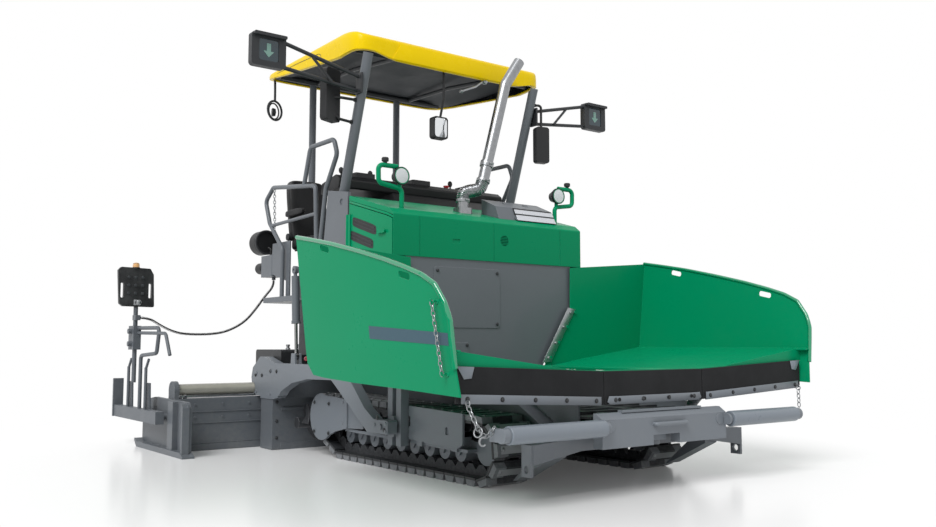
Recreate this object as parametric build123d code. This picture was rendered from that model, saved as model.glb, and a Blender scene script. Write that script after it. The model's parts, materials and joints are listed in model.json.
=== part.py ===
# Tracked asphalt paver with its extending screed.
# Frame: millimetres, +X forward (push rollers), +Y the machine's left, +Z up, ground at z = 0.
# Side pieces are drawn on the left (+Y) and mirrored to the right.
import os
from math import asin, atan2, cos, hypot, radians, sin, sqrt

from build123d import *

os.makedirs("parts", exist_ok=True)

# Driving dimensions.
gap = 0.3                 # clearance between pieces that only lie against each other
fit = 0.05                # radial clearance of a pin or shaft in its bore
plate = 16.0              # thick steel plate
sheet = 8.0               # thin steel plate

# chassis and tracks
frame_half = 500.0        # half width of the chassis between the tracks
frame_rear, frame_front = -560.0, 2235.0
frame_floor, frame_top = 240.0, 610.0
track_clear = 30.0        # from the chassis to the track shoes
track_width = 330.0
track_in = frame_half + track_clear
track_out = track_in + track_width
track_mid = track_in + track_width / 2
idler_x, idler_r = 1590.0, 220.0            # reach of the shoes round the idler
sprocket_x, sprocket_z, sprocket_r = -400.0, 305.0, 190.0
roller_first, roller_last, roller_count = -160.0, 1320.0, 9
roller_r = 62.0
turn_up_r = 156.0         # reach of the shoes round the first bottom roller
shoe_pitch = 112.0
shoe_length = 102.0
pad_height, link_height, rail_height = 52.0, 70.0, 34.0
link_width, link_spread = 30.0, 62.0
cover_y = track_out + 20  # outer face of the covers on the track frame
drive_cover_r = 185.0

# hopper
hopper_rear, hopper_front = 712.0, 2290.0
wing_hinge_y, wing_hinge_z = frame_half, 700.0
wing_half = 1632.5        # half of the width over the open wings
wing_plate = 10.0
wing_lean = 82.0          # the side walls lean out this much over their height
wing_top = 1600.0
lip_d = 26.0              # rolled edge of the wings
flap_thick = 12.0
flap_split = 450.0        # half width of the middle flap
flap_low, flap_top = 532.0, 728.0
flap_rise = 46.0          # the flaps climb this much from the split to the sides
strip_width = 50.0

# push bar
push_pin_x, push_pin_d = 2290.0, 50.0
push_half = 562.0
push_front = 2405.0
push_low, push_face_top, push_top = 283.0, 451.0, 485.0
roller_axis_x, roller_axis_z = 2425.0, 407.0
push_roller_r = 50.0
push_roller_length = 712.0
roller_gap = 12.0         # from the bar to the roller
roller_shaft_d = 30.0

# engine cover and platform
bulkhead_x = 700.0        # front face of engine cover and bulkhead
bulkhead_thick = 20.0
hood_half = 918.0
hood_low, hood_edge, hood_rear_top = 1523.0, 1845.0, 2030.0
hood_rear = 60.0
hood_wall = 8.0
hood_lip = 25.0
door_thick = 30.0
deck_rear, deck_front = -1500.0, -60.0
deck_half = 922.0
deck_top, deck_thick = 1300.0, 45.0
rail_d = 38.0
seat_width, seat_height = 380.0, 1830.0
arm_rest = 50.0

# roof
roof_front, roof_rear = 221.0, -1514.0
roof_half = 945.0
roof_low, roof_crown = 3113.0, 3490.0
roof_wall = 30.0
roof_side_height = 160.0  # from the crown down to the edge of the side
post_d, rear_post_d = 80.0, 65.0
post_y = 846.0
rear_post_y = 465.0

# screed
tow_x, tow_z = 745.0, 320.0
tow_pin_d = 40.0
arm_in, arm_out = 958.0, 1036.0
screed_front, screed_rear = -1010.0, -1305.0
screed_half = arm_in - gap - 12
shelf_rear = -1605.0
shelf_low, shelf_top = 560.0, 640.0
ext_front, ext_rear = -1320.0, -1715.0
ext_in, ext_out = 870.0, 1750.0
ext_top = 437.0
end_plate_gap, end_plate_thick = 10.0, 30.0
overall_rear = -2475.0
tube_x, tube_z, tube_d = -1415.0, 505.0, 98.0
pole_x, pole_d = -1955.0, 38.0
pole_out = 110.0          # from the end plate to the remote panel's pole

# augers
auger_x, auger_z, auger_r = -765.0, 240.0, 150.0
auger_shaft_d, auger_bar_d = 90.0, 60.0
auger_in, auger_out = 110.0, 925.0
auger_turns, auger_steps = 3, 10
blade_thick = 12.0

# lift and wing cylinders
lift_pivot_x, lift_pivot_z, lift_eye_x, lift_eye_z = -690.0, 1500.0, -645.0, 790.0
wing_pivot_y, wing_pivot_z, wing_eye_y, wing_eye_z = 560.0, 362.0, 1080.0, 742.0
wing_cylinder_x = 2000.0
cylinder_lug = 30.0       # thickness of every cylinder's eye


# Shape helpers.
def block(x0, x1, y0, y1, z0, z1):
    return Pos((x0 + x1) / 2, (y0 + y1) / 2, (z0 + z1) / 2) * Box(abs(x1 - x0), abs(y1 - y0), abs(z1 - z0))


def outline(corners, radius):
    """Closed face on straight runs, with every corner rounded when a radius is given."""
    if radius:
        return make_face(FilletPolyline(*corners, radius=radius, close=True))
    return make_face(Polyline(*corners, close=True))


def side_slab(points, y0, y1, radius=0):
    """Outline in X-Z, thickness from y0 to y1."""
    return extrude(outline([(x, y0, z) for x, z in points], radius), amount=y1 - y0, dir=(0, 1, 0))


def cross_slab(points, x0, x1, radius=0):
    """Outline in Y-Z, thickness from x0 to x1."""
    return extrude(outline([(x0, y, z) for y, z in points], radius), amount=x1 - x0, dir=(1, 0, 0))


def flat_slab(points, z0, z1, radius=0):
    """Outline in X-Y, thickness from z0 to z1."""
    return extrude(outline([(x, y, z0) for x, y in points], radius), amount=z1 - z0, dir=(0, 0, 1))


def bar(start, end, diameter):
    run = Vector(*end) - Vector(*start)
    return Plane(origin=start, z_dir=run) * Cylinder(diameter / 2, run.length, align=(Align.CENTER, Align.CENTER, Align.MIN))


def across(x, z, radius, y0, y1):
    """Round piece whose axis lies along Y."""
    return bar((x, min(y0, y1), z), (x, max(y0, y1), z), 2 * radius)


def along(y, z, radius, x0, x1):
    """Round piece whose axis lies along X."""
    return bar((min(x0, x1), y, z), (max(x0, x1), y, z), 2 * radius)


def pipe(points, diameter, radius):
    path = FilletPolyline(*points, radius=radius)
    return sweep(Plane(origin=path @ 0, z_dir=path % 0) * Circle(diameter / 2), path=path)


def rounded(x0, x1, y0, y1, z0, z1, radius, axis=Axis.Z):
    """Block whose edges along one axis are rounded."""
    piece = block(x0, x1, y0, y1, z0, z1)
    return fillet(piece.edges().filter_by(axis), radius)


def right(shape):
    return mirror(shape, about=Plane.XZ)


def both(shape):
    return [shape, right(shape)]


def joined(*pieces):
    total = pieces[0]
    for piece in pieces[1:]:
        total = total + piece
    return total


def save(name, *pieces):
    solids = [solid for piece in pieces for solid in piece.solids()]
    export_step(solids[0] if len(solids) == 1 else Compound(solids), f"parts/{name}.step")


def save_sides(name, left_piece):
    save(f"{name}_left", left_piece)
    save(f"{name}_right", right(left_piece))


# Tracks: a closed chain of links on two rails, each link bolted to a shoe with its rubber pad.
def belt_face(depth, y):
    """Face inside the taut chain, depth below the tips of the pads."""
    wheels = [
        (idler_x, idler_r, idler_r - depth),
        (sprocket_x, sprocket_z, sprocket_r - depth),
        (roller_first, turn_up_r, turn_up_r - depth),
    ]
    leans = []
    for (x1, z1, r1), (x2, z2, r2) in zip(wheels, wheels[1:] + wheels[:1]):
        leans.append(atan2(z2 - z1, x2 - x1) + asin((r1 - r2) / hypot(x2 - x1, z2 - z1)))
    edges = []
    for index, (x, z, r) in enumerate(wheels):
        begin, end = leans[index - 1], leans[index]
        while end < begin:
            end += radians(360)
        arc_points = [(x + r * sin(a), y, z - r * cos(a)) for a in (begin, (begin + end) / 2, end)]
        edges.append(ThreePointArc(*arc_points))
        next_x, next_z, next_r = wheels[(index + 1) % len(wheels)]
        edges.append(Line(arc_points[2], (next_x + next_r * sin(end), y, next_z - next_r * cos(end))))
    return make_face(edges)


chain_depth = pad_height + link_height


def track_seats():
    """Planes on the belt line, one a shoe, x along the run and z outwards, and the pitch that fills the loop."""
    path = belt_face(pad_height, track_mid).face().outer_wire()
    count = round(path.length / shoe_pitch)
    middle = Vector((idler_x + sprocket_x) / 2, track_mid, idler_r)
    seats = []
    for index in range(count):
        distance = (index + 0.5) * path.length / count
        spot = path.position_at(distance, position_mode=PositionMode.LENGTH)
        heading = path.tangent_at(distance, position_mode=PositionMode.LENGTH)
        out = heading.cross(Vector(0, -1, 0))
        if out.dot(middle - spot) > 0:
            out = -out
            heading = -heading
        seats.append(Plane(origin=spot, x_dir=heading, z_dir=out))
    return seats, path.length / count


def track_loop():
    """A pad stands on each seat, and under it the links of both chain rails meet the next ones."""
    seats, pitch = track_seats()
    half, joint, tip = shoe_length / 2, pitch / 2, shoe_length * 0.21
    pad = [(-half + 14, pad_height), (half - 14, pad_height), (half, 0), (-half, 0)]
    link = [(-joint, 0), (joint, 0), (joint, -rail_height), (tip, -link_height), (-tip, -link_height), (-joint, -rail_height)]
    pads = [seat * extrude(outline([(u, -track_width / 2, w) for u, w in pad], 0), amount=track_width, dir=(0, 1, 0))
            for seat in seats]
    links = [seat * outline([(u, 0, w) for u, w in link], 0) for seat in seats]
    chain = links[0].fuse(*links[1:])
    rails = [Pos(0, side * link_spread - link_width / 2, 0) * extrude(chain, amount=link_width, dir=(0, 1, 0))
             for side in (-1, 1)]
    return rails[0].fuse(rails[1], *pads)


save_sides("track", track_loop())

# Track frame inside the loop: beam, toothed sprocket, idler, rollers, scraper, outer cover and drive cover.
wheel_clear = 0.6
wheel_in, wheel_out = track_mid - link_spread - link_width / 2 - 4, track_mid + link_spread + link_width / 2 + 4
beam_in, beam_out = track_mid - 70.0, track_mid + 70.0
beam_low, beam_high = 200.0, 296.0
beam = side_slab([(sprocket_x + 55, sprocket_z - 25), (roller_first - 20, beam_low + 20), (roller_first + 60, beam_low),
                  (idler_x - 20, beam_low - 10), (idler_x - 20, beam_low + 50), (1250, beam_high), (sprocket_x + 55, beam_high)],
                 beam_in, beam_out)
inside_reach = chain_depth + wheel_clear
wheels = [
    across(idler_x, idler_r, idler_r - inside_reach, wheel_in, wheel_out),
    across(sprocket_x, sprocket_z, sprocket_r - inside_reach, wheel_in, wheel_out),
]
first_roller_x = roller_first + 30
roller_step = (roller_last - first_roller_x) / (roller_count - 1)
for index in range(roller_count):
    roller_x = first_roller_x + index * roller_step
    wheels.append(across(roller_x, inside_reach + roller_r, roller_r, wheel_in, wheel_out))
    carrier = [(roller_x - 45, inside_reach + roller_r + 50), (roller_x + 45, inside_reach + roller_r + 50),
               (roller_x, inside_reach + roller_r - 22)]
    wheels.append(side_slab(carrier, wheel_out, wheel_out + 14))
    wheels.append(side_slab(carrier, wheel_in - 14, wheel_in))
guard_low = inside_reach + roller_r + 25
skirt = side_slab([(sprocket_x + 330, guard_low + 12), (idler_x - 90, guard_low - 10), (idler_x - 90, guard_low + 10), (sprocket_x + 330, guard_low + 34)],
                  beam_out - 10, track_out - 4)
frame_cover = side_slab([(855, 465), (1477, 447), (1477, 250), (1418, 221), (855, 236), (855, 320), (875, 330), (875, 390), (855, 400)],
                        track_out + 2, cover_y)
cover_stays = [block(x - 30, x + 30, beam_out - 10, cover_y - 5, beam_low, 290) for x in (980, 1380)]
cover_slot = side_slab([(1290, 300), (1325, 300), (1325, 350), (1290, 350)], cover_y - 12, cover_y + 5, radius=8)
drive_plate = side_slab([(sprocket_x + 5, sprocket_z + drive_cover_r - 8), (-199, 478), (0, 464), (0, 246), (-177, 212), (sprocket_x + 5, sprocket_z - 170)],
                        track_out + 2, cover_y + 6)
drive_round = across(sprocket_x - 15, sprocket_z + 6, drive_cover_r, track_out + 2, cover_y + 6)
drive_hub = across(sprocket_x, sprocket_z, sprocket_r - inside_reach - 5, wheel_out, cover_y)
drive_bolts = [across(x, z, 10, cover_y + 6, cover_y + 12) for x, z in ((-520, 425), (-540, 200), (-60, 440), (-60, 285), (-290, 205))]
drive_flange = side_slab([(-10, 246), (220, 256), (220, 300), (150, 420), (-10, 440)], track_out + 2, track_out + 12)
track_frame = joined(
    beam,
    *wheels,
    block(200, 1250, frame_half, beam_in + 10, beam_low, beam_high),
    skirt,
    frame_cover - cover_slot, *cover_stays,
    drive_plate, drive_round, drive_hub, drive_flange, *drive_bolts,
)
save("track_frames", *both(track_frame))

# Chassis: side plates with belly plate and hinge ears; front beam with the push bar's pin; tow columns; auger hanger.
side_plate = side_slab(
    [(frame_rear, 330), (frame_rear + 140, frame_floor), (1700, frame_floor), (2050, 262),
     (frame_front - 95, 262), (frame_front - 95, 560), (1900, frame_top), (frame_rear, frame_top)],
    frame_half - plate, frame_half)
beam_half = 940.0
front_beam = cross_slab([(-beam_half, 205), (-beam_half, 318), (-620, 334), (620, 334), (beam_half, 318), (beam_half, 205),
                         (560, 262), (-560, 262)], frame_front - 95 + gap, frame_front - gap)
scraper = side_slab([(1830, 60), (1850, 60), (frame_front - 60, 225), (frame_front - 60, 280), (2060, 255)],
                    track_mid - 60, track_mid + 60)
lug_half = 34.0
push_lug_low, push_lug_high = 300.0, 400.0
fork = flat_slab([(frame_front - 40, -80), (frame_front - 40, 80), (push_pin_x, lug_half), (push_pin_x, -lug_half)],
                 push_lug_low - 28, push_lug_low)
fork += bar((push_pin_x, 0, push_lug_low - 28), (push_pin_x, 0, push_lug_low), 2 * lug_half)
push_pin = bar((push_pin_x, 0, push_lug_low - 18), (push_pin_x, 0, push_lug_high + 34), push_pin_d)
fork_top = Pos(0, 0, push_lug_high - push_lug_low + 28) * fork
fork_back = block(frame_front - 80, frame_front - 40, -80, 80, 320, push_lug_high + 28)
belly = block(frame_rear + 160, frame_front - 95, -frame_half, frame_half, frame_floor + 30, frame_floor + 30 + sheet)
cross_rear = block(frame_rear, frame_rear + 30, -frame_half, frame_half, 520, frame_top)
column = joined(
    block(675, 735, 880, arm_in - gap - 20, 189, 700),
    block(785, 845, 880, arm_in - gap - 20, 189, 700),
    block(675, 845, 872, 884, 189, 700),
    block(690, 830, frame_half + gap, 880, 560, frame_top - 4),
    block(690, 830, 862, 884, 189, 215),
)
tow_pin = across(tow_x, tow_z, tow_pin_d / 2, 870, arm_out + 14)
tow_block = block(735, 785, 880, arm_in - gap, tow_z - 70, tow_z + 70)
tie_z = 178.0
tie_eye = block(2150, 2230, beam_half - 2, beam_half + 18, tie_z - 42, 318) - across(2190, tie_z, 22, beam_half - 10, beam_half + 30)
cylinder_ears = [block(wing_cylinder_x + x0, wing_cylinder_x + x1, frame_half - 2, wing_pivot_y + 30, wing_pivot_z - 32, wing_pivot_z + 33)
                 for x0, x1 in ((-45, -cylinder_lug / 2 - gap), (cylinder_lug / 2 + gap, 45))]
cylinder_pin = along(wing_pivot_y, wing_pivot_z, 12, wing_cylinder_x - 52, wing_cylinder_x + 52)
auger_hanger = joined(
    block(-800, frame_rear - gap, -60, 60, 530, 600),
    block(-800, -730, -60, 60, auger_z, 600),
    across(auger_x, auger_z, 88, -80, 80),
    across(auger_x, auger_z, auger_bar_d / 2, -190, 190),
)
hinge_places = (870.0, 1450.0, 2085.0)
knuckle, ear, knuckle_r, hinge_pin_r = 60.0, 20.0, 13.0, 8.0


def hinge_ear(x0):
    upright = block(x0, x0 + ear, frame_half - plate + gap, wing_hinge_y + knuckle_r - 2, 540, wing_hinge_z)
    return upright + along(wing_hinge_y, wing_hinge_z, knuckle_r - 2, x0, x0 + ear)


wing_hinges = []
for hinge_x in hinge_places:
    wing_hinges += [hinge_ear(hinge_x - ear - gap), hinge_ear(hinge_x + knuckle + gap)]
    wing_hinges.append(along(wing_hinge_y, wing_hinge_z, hinge_pin_r, hinge_x - ear, hinge_x + knuckle + ear))
chassis = joined(
    *both(side_plate), belly, cross_rear,
    *[side for piece in (*cylinder_ears, cylinder_pin, *wing_hinges) for side in both(piece)],
)
save("chassis_frame", chassis)
save("front_beam", joined(front_beam, fork, fork_top, fork_back, push_pin, *both(scraper), *both(tie_eye)))
save("tow_columns", *both(joined(column, tow_pin, tow_block)))
save("auger_hanger", auger_hanger)

# Conveyor: floor plate, two chain tracks, slats and the drive shaft at the rear.
slat_pitch = 160
conveyor_half = frame_half - plate - gap
slats = [block(x, x + 26, -conveyor_half + 40, conveyor_half - 40, 452, 476) for x in range(-500, 2180, slat_pitch)]
chain_lines = [block(frame_rear, hopper_front - 60, y - 22, y + 22, 452, 468) for y in (-300, 300)]
conveyor = joined(
    block(frame_rear, hopper_front - 60, -conveyor_half, conveyor_half, 440, 454),
    block(frame_rear, hopper_front - 60, -30, 30, 452, 480),
    *chain_lines, *slats,
    across(frame_rear + 60, 395, 60, -445, 445),
)
save("conveyor", conveyor)

# Fixed middle of the hopper: sloping rails over the conveyor's edges, and the front lip with its rubber flap.
floor_in = frame_half - 100
floor_out = frame_half - plate
rail = cross_slab([(floor_in, frame_top + gap), (floor_out, frame_top + gap), (floor_out, 672), (floor_in, 640)],
                  hopper_rear + 4, hopper_front - 30)
lip = block(hopper_front - 30, hopper_front - 10, -flap_split + 4, flap_split - 4, flap_low - 2, 700)
save("hopper_floor", joined(*both(rail), lip))

flap_face = hopper_front + 8
flap_front = flap_face + flap_thick
strip_front = flap_front + 6


def strip_bolts(points):
    return [along(y, z, 11, strip_front - 2, strip_front + 7) for y, z in points]


middle_half = flap_split - 4
middle_flap = block(flap_face, flap_front, -middle_half, middle_half, flap_low, flap_top)
middle_back = block(hopper_front - 10 + gap, flap_face + 1, -middle_half + 8, middle_half - 8, 640, 690)
middle_strip = cross_slab([(-390, flap_low), (390, flap_low), (middle_half - 16, flap_low + 14), (320, flap_low + strip_width - 4),
                           (-320, flap_low + strip_width - 4), (-middle_half + 16, flap_low + 14)], flap_front - 2, strip_front)
save("middle_flap", joined(middle_flap, middle_back, middle_strip,
                           *strip_bolts([(y, flap_low + strip_width / 2) for y in (-330, -110, 110, 330)])))

# Hopper wings: folded floor and side wall in one section, rolled lip, rear wall, front apron and beams below.
floor_rise = 150.0        # the wing floor climbs this much from hinge to bend
inner_y, inner_z = wing_hinge_y - 10, wing_hinge_z + 12
bend_y, bend_z = wing_half - 40.5, inner_z + floor_rise
top_y = bend_y + wing_lean
skirt_low = 600.0
wing_section = [(inner_y, inner_z), (bend_y - 2, bend_z), (top_y, wing_top), (top_y + wing_plate, wing_top), (bend_y + 8, bend_z),
                (bend_y - 30, skirt_low), (bend_y - 40, skirt_low), (bend_y - 4, bend_z - wing_plate - 1), (inner_y, inner_z - wing_plate)]
wing_front = hopper_front + 90
shell = cross_slab(wing_section, hopper_rear, wing_front)
shell -= block(hopper_front, wing_front + 10, inner_y - 10, bend_y - 46, skirt_low, 900)
top_line = [(hopper_rear, 1593), (920, 1557), (1186, 1508), (1495, 1439), (1778, 1370), (1987, 1311), (2135, 1263), (2250, 1205),
            (2325, 1105), (2360, 1010), (2366, 760)]
wing_side = side_slab([(hopper_rear - 5, 770), (hopper_rear - 5, 1595), *top_line[1:], (wing_front, 614), (1861, 636), (1322, 653),
                       (917, 674), (776, 688)], inner_y - 20, top_y + 60)
shell = shell & wing_side


def wall_y(z):
    """Middle of the leaning side wall at height z."""
    return bend_y + wing_plate / 2 + (z - bend_z) * wing_lean / (wing_top - bend_z)


rolled_lip = pipe([(x, wall_y(z), z) for x, z in top_line], lip_d, 40)
hand_holes = [side_slab([(x - 55, z - 12), (x + 55, z - 38), (x + 55, z + 2), (x - 55, z + 28)], bend_y, top_y + 40, radius=16)
              for x, z in ((1085, 1490), (1970, 1272))]
mid_y = bend_y + 3
wall_line = [(inner_y + 2, inner_z - 5), (mid_y, bend_z - 5), (top_y + 3, 1588), (783, 1511), (778, 1182)]
rear_wall = cross_slab(wall_line, hopper_rear, hopper_rear + wing_plate)
seal = cross_slab([(inner_y + 4, 735), (inner_y + 64, 742), (828, 1178), (779, 1190)], hopper_rear + wing_plate - 2, hopper_rear + wing_plate + 8)
seal_bolts = [along(inner_y + 48 + 292 * share, 770 + 390 * share, 13, hopper_rear + wing_plate, hopper_rear + wing_plate + 16)
              for share in (0.03, 0.34, 0.66, 0.97)]
apron = cross_slab([(inner_y + 2, 645), (1550, 705), (mid_y - 1, bend_z - 6), (inner_y + 2, inner_z - 6)], hopper_front - 12, hopper_front)
beam_outline = [(620, 690), (1500, 760), (1556, 800), (bend_y - 5, bend_z - 7), (620, 723)]
under_beams = [cross_slab(beam_outline, x, x + 60) for x in (hopper_rear + 150, 1500)]
wing_ears = [block(wing_cylinder_x + x0, wing_cylinder_x + x1, wing_eye_y - 45, wing_eye_y + 45, wing_eye_z - 35, wing_eye_z + 44)
             for x0, x1 in ((-50, -cylinder_lug / 2 - gap), (cylinder_lug / 2 + gap, 50))]
knuckles = [along(wing_hinge_y, wing_hinge_z, knuckle_r, x, x + knuckle) for x in hinge_places]
knuckle_bores = [along(wing_hinge_y, wing_hinge_z, hinge_pin_r + fit, x - 1, x + knuckle + 1) for x in hinge_places]
ear_slots = [block(x0, x0 + ear + 2, inner_y - 5, wing_hinge_y + 24, 660, 730)
             for x in hinge_places for x0 in (x - ear - 1 - gap, x + knuckle - 1 + gap)]
wing = joined(shell, rolled_lip, apron, rear_wall, seal, *seal_bolts, *under_beams, *wing_ears, *knuckles)
for cut in (*hand_holes, *knuckle_bores, *ear_slots):
    wing -= cut
save_sides("hopper_wing", wing)

flap_reach = 1540.0
flap_outline = [(flap_split + 4, flap_low), (flap_reach, flap_low + flap_rise), (flap_reach, flap_top + flap_rise), (flap_split + 4, flap_top)]
wing_flap = cross_slab(flap_outline, flap_face, flap_front)
wing_back = cross_slab([(flap_split + 60, 650), (1500, 720), (1500, 765), (flap_split + 60, 700)], hopper_front + gap, flap_face + 1)
strip_in, strip_out = 480.0, 1510.0
strip_low, strip_up = flap_low - 4, flap_low + 44
wing_strip = cross_slab([(strip_in, strip_low), (strip_out, strip_up), (strip_out, strip_up + strip_width), (strip_in, strip_low + strip_width)],
                        flap_front - 2, strip_front)
wing_bolts = strip_bolts([(strip_in + (strip_out - strip_in) * share, strip_low + 26 + (strip_up - strip_low) * share)
                          for share in (0.04, 0.27, 0.5, 0.73, 0.96)])
corner_plate = cross_slab([(1440, 708), (1490, 704), (flap_reach - 3, flap_top + flap_rise), (1420, flap_top + flap_rise - 5)], flap_front - 2, flap_front + 5)
save_sides("wing_flap", joined(wing_flap, wing_back, wing_strip, corner_plate, *wing_bolts))

# Push bar with its slot, bosses and handle; a lug at each end of both rollers.
push_back = push_front - 75
push_section = [(push_front, push_low), (push_front, push_face_top), (push_back + 25, push_top), (push_back, push_top), (push_back, push_low)]
push_face = side_slab(push_section, -push_half, push_half)
push_face -= block(push_back - 1, push_front + 1, -130, 110, push_low - 1, 343)
pin_hole = bar((push_pin_x, 0, push_low), (push_pin_x, 0, push_top), push_pin_d + 2 * fit)
lug_low, lug_high = push_lug_low + gap, push_lug_high - gap
push_lug = flat_slab([(push_back + 5, -60), (push_back + 5, 60), (push_pin_x, 45), (push_pin_x, -45)], lug_low, lug_high)
push_lug = push_lug + bar((push_pin_x, 0, lug_low), (push_pin_x, 0, lug_high), 90) - pin_hole
handle = pipe([(push_front - 4, -125, 408), (push_front + 26, -125, 408), (push_front + 26, 150, 408), (push_front - 4, 150, 408)], 26, 14)
bosses = [along(y, 410, 34, push_front - 2, push_front + 5) for y in (-498, 498)]
step = block(push_back + 2, push_back + 40, -360, 360, push_top - 2, push_top + 12)
roller_in = push_half + roller_gap
roller_out = roller_in + push_roller_length
carrier_end = roller_out + 46
carrier_beam = block(push_back, push_back + 32, push_half - 5, carrier_end, 378, 436)
inner_lug = side_slab([(push_back, 372), (roller_axis_x, 372), (roller_axis_x, 442), (push_back, 442)], push_half - 20, push_half) \
    + across(roller_axis_x, roller_axis_z, 36, push_half - 20, push_half)
outer_lug = side_slab([(push_back, 372), (roller_axis_x, 372), (roller_axis_x, 442), (push_back, 442)], roller_out + gap, carrier_end) \
    + across(roller_axis_x, roller_axis_z, 40, roller_out + gap, carrier_end)
shaft = across(roller_axis_x, roller_axis_z, roller_shaft_d / 2, push_half - 10, roller_out + 10)
push_bar = joined(push_face, push_lug, step, handle, *bosses)
for piece in (carrier_beam, inner_lug, outer_lug, shaft):
    push_bar = joined(push_bar, *both(piece))
save("push_bar", push_bar)
push_roller = fillet(across(roller_axis_x, roller_axis_z, push_roller_r, roller_in, roller_out).edges(), 6)
push_roller -= across(roller_axis_x, roller_axis_z, roller_shaft_d / 2 + fit, roller_in - 1, roller_out + 1)
save_sides("push_roller", push_roller)

# Bulkhead behind the hopper with its two access panels, engine cover and side doors.
bulkhead_front = bulkhead_x - hood_wall - gap
bulkhead_back = bulkhead_front - bulkhead_thick
wall_half = hood_half - 110
bulkhead = cross_slab([(-wall_half, hood_low + 60), (-wall_half, 1180), (-frame_half, 720), (frame_half, 720),
                       (wall_half, 1180), (wall_half, hood_low + 60)], bulkhead_back, bulkhead_front)
large_panel = rounded(bulkhead_front - 1, bulkhead_front + 5, -560, 60, 1010, 1460, 25, Axis.X)
small_panel = rounded(bulkhead_front - 1, bulkhead_front + 5, -420, -240, 760, 900, 12, Axis.X)
panel_bolts = [along(y, z, 9, bulkhead_front, bulkhead_front + 9)
               for y, z in ((-530, 1430), (30, 1430), (-530, 1040), (30, 1040), (-400, 880), (-260, 880), (-400, 780), (-260, 780))]
save("front_bulkhead", joined(bulkhead, large_panel, small_panel, *panel_bolts))

hood_peak = bulkhead_x - 60
hood_slope = (hood_rear_top - hood_edge - hood_lip) / (hood_peak - hood_rear)


def hood_z(x):
    return hood_edge + hood_lip + (hood_peak - x) * hood_slope


hood_outer = side_slab([(bulkhead_x, hood_low), (bulkhead_x, hood_edge - 20), (hood_peak, hood_edge + hood_lip),
                        (hood_rear, hood_rear_top), (hood_rear, hood_low)], -hood_half, hood_half)
hood_outer = fillet(hood_outer.edges().filter_by(Axis.Y).group_by(Axis.X)[-1].group_by(Axis.Z)[-1], 18)
hood_inner = side_slab([(bulkhead_x - hood_wall, hood_low - 10), (bulkhead_x - hood_wall, hood_edge - 26),
                        (hood_peak - 2, hood_edge + hood_lip - 10), (hood_rear + hood_wall, hood_rear_top - 12),
                        (hood_rear + hood_wall, hood_low - 10)], -hood_half + hood_wall, hood_half - hood_wall)
under_hood = side_slab([(hood_peak, hood_z(hood_peak) + gap), (hood_rear, hood_z(hood_rear) + gap), (hood_rear, 1500), (hood_peak, 1500)],
                       -hood_half, hood_half)
door_in = hood_half - door_thick
door_top = [(hood_rear + 12, 1170), (bulkhead_x - 10, 1170), (bulkhead_x - 10, hood_edge - 60),
            (bulkhead_x - 90, hood_edge - 30), (hood_rear + 12, hood_rear_top - 65)]
door_gap = side_slab([(hood_rear + 6, 1100), (bulkhead_x - 4, 1100), (bulkhead_x - 4, hood_edge - 34),
                      (bulkhead_x - 88, hood_edge - 3), (hood_rear + 6, hood_rear_top - 38)], door_in, hood_half + 10)
seam = 3.0
hood_seams = [block(bulkhead_x - 4, bulkhead_x + 5, y - seam, y + seam, hood_low - 1, hood_edge + 10) for y in (-690, 0, 690)]
latch = rounded(bulkhead_x - 5, bulkhead_x + 5, -395, -325, 1640, 1672, 8, Axis.X)
grille_y, grille_z, grille_r = 105.0, 1690.0, 42.0
grille_rows = []
for row in range(-3, 4):
    row_z = row * 12.0
    reach = sqrt(grille_r ** 2 - row_z ** 2)
    grille_rows.append(block(bulkhead_x - hood_wall - 1, bulkhead_x + 5, grille_y - reach, grille_y + reach, grille_z + row_z - 3, grille_z + row_z + 3))
hood = hood_outer - hood_inner
for cut in (*both(door_gap), *hood_seams, latch, *grille_rows):
    hood -= cut
save("engine_hood", hood)

door = side_slab(door_top, door_in, hood_half + 4, radius=12)
louvre_rows = [(130, 1800), (90, 1700)]
for x0, z0 in louvre_rows:
    door -= side_slab([(x0, z0), (x0 + 330, z0 - 100), (x0 + 330, z0 - 55), (x0, z0 + 45)], door_in - 10, hood_half + 20, radius=12)
    for share in (0.3, 0.6):
        z1 = z0 + 45 * share
        door += side_slab([(x0 - 4, z1), (x0 + 334, z1 - 100), (x0 + 334, z1 - 94), (x0 - 4, z1 + 6)], door_in + 4, hood_half - 4)
hinge_x, hinge_y = hood_rear - 4, hood_half + 16
door_hinge = bar((hinge_x, hinge_y, 1210), (hinge_x, hinge_y, 1880), 18)
hinge_leaf = block(hinge_x, hood_rear + 40, hood_half + gap, hinge_y, 1210, 1880)
door_pull = rounded(bulkhead_x - 190, bulkhead_x - 90, hood_half + 2, hood_half + 22, 1690, 1716, 8, Axis.Y)
save_sides("side_door", joined(door, hinge_leaf, door_hinge, door_pull))
save("engine_block", block(150, 640, -300, 300, 800, 1480))

panel_y = post_y + post_d / 2 + gap
side_panel = side_slab([(-293, 2118), (27, 2067), (35, deck_top + gap), (-372, deck_top + gap), (-357, 1715)], panel_y, hood_half - 4)
side_panel -= across(-71, 2000, 26, hood_half - 12, hood_half)
save("side_panels", *both(side_panel))

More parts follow.
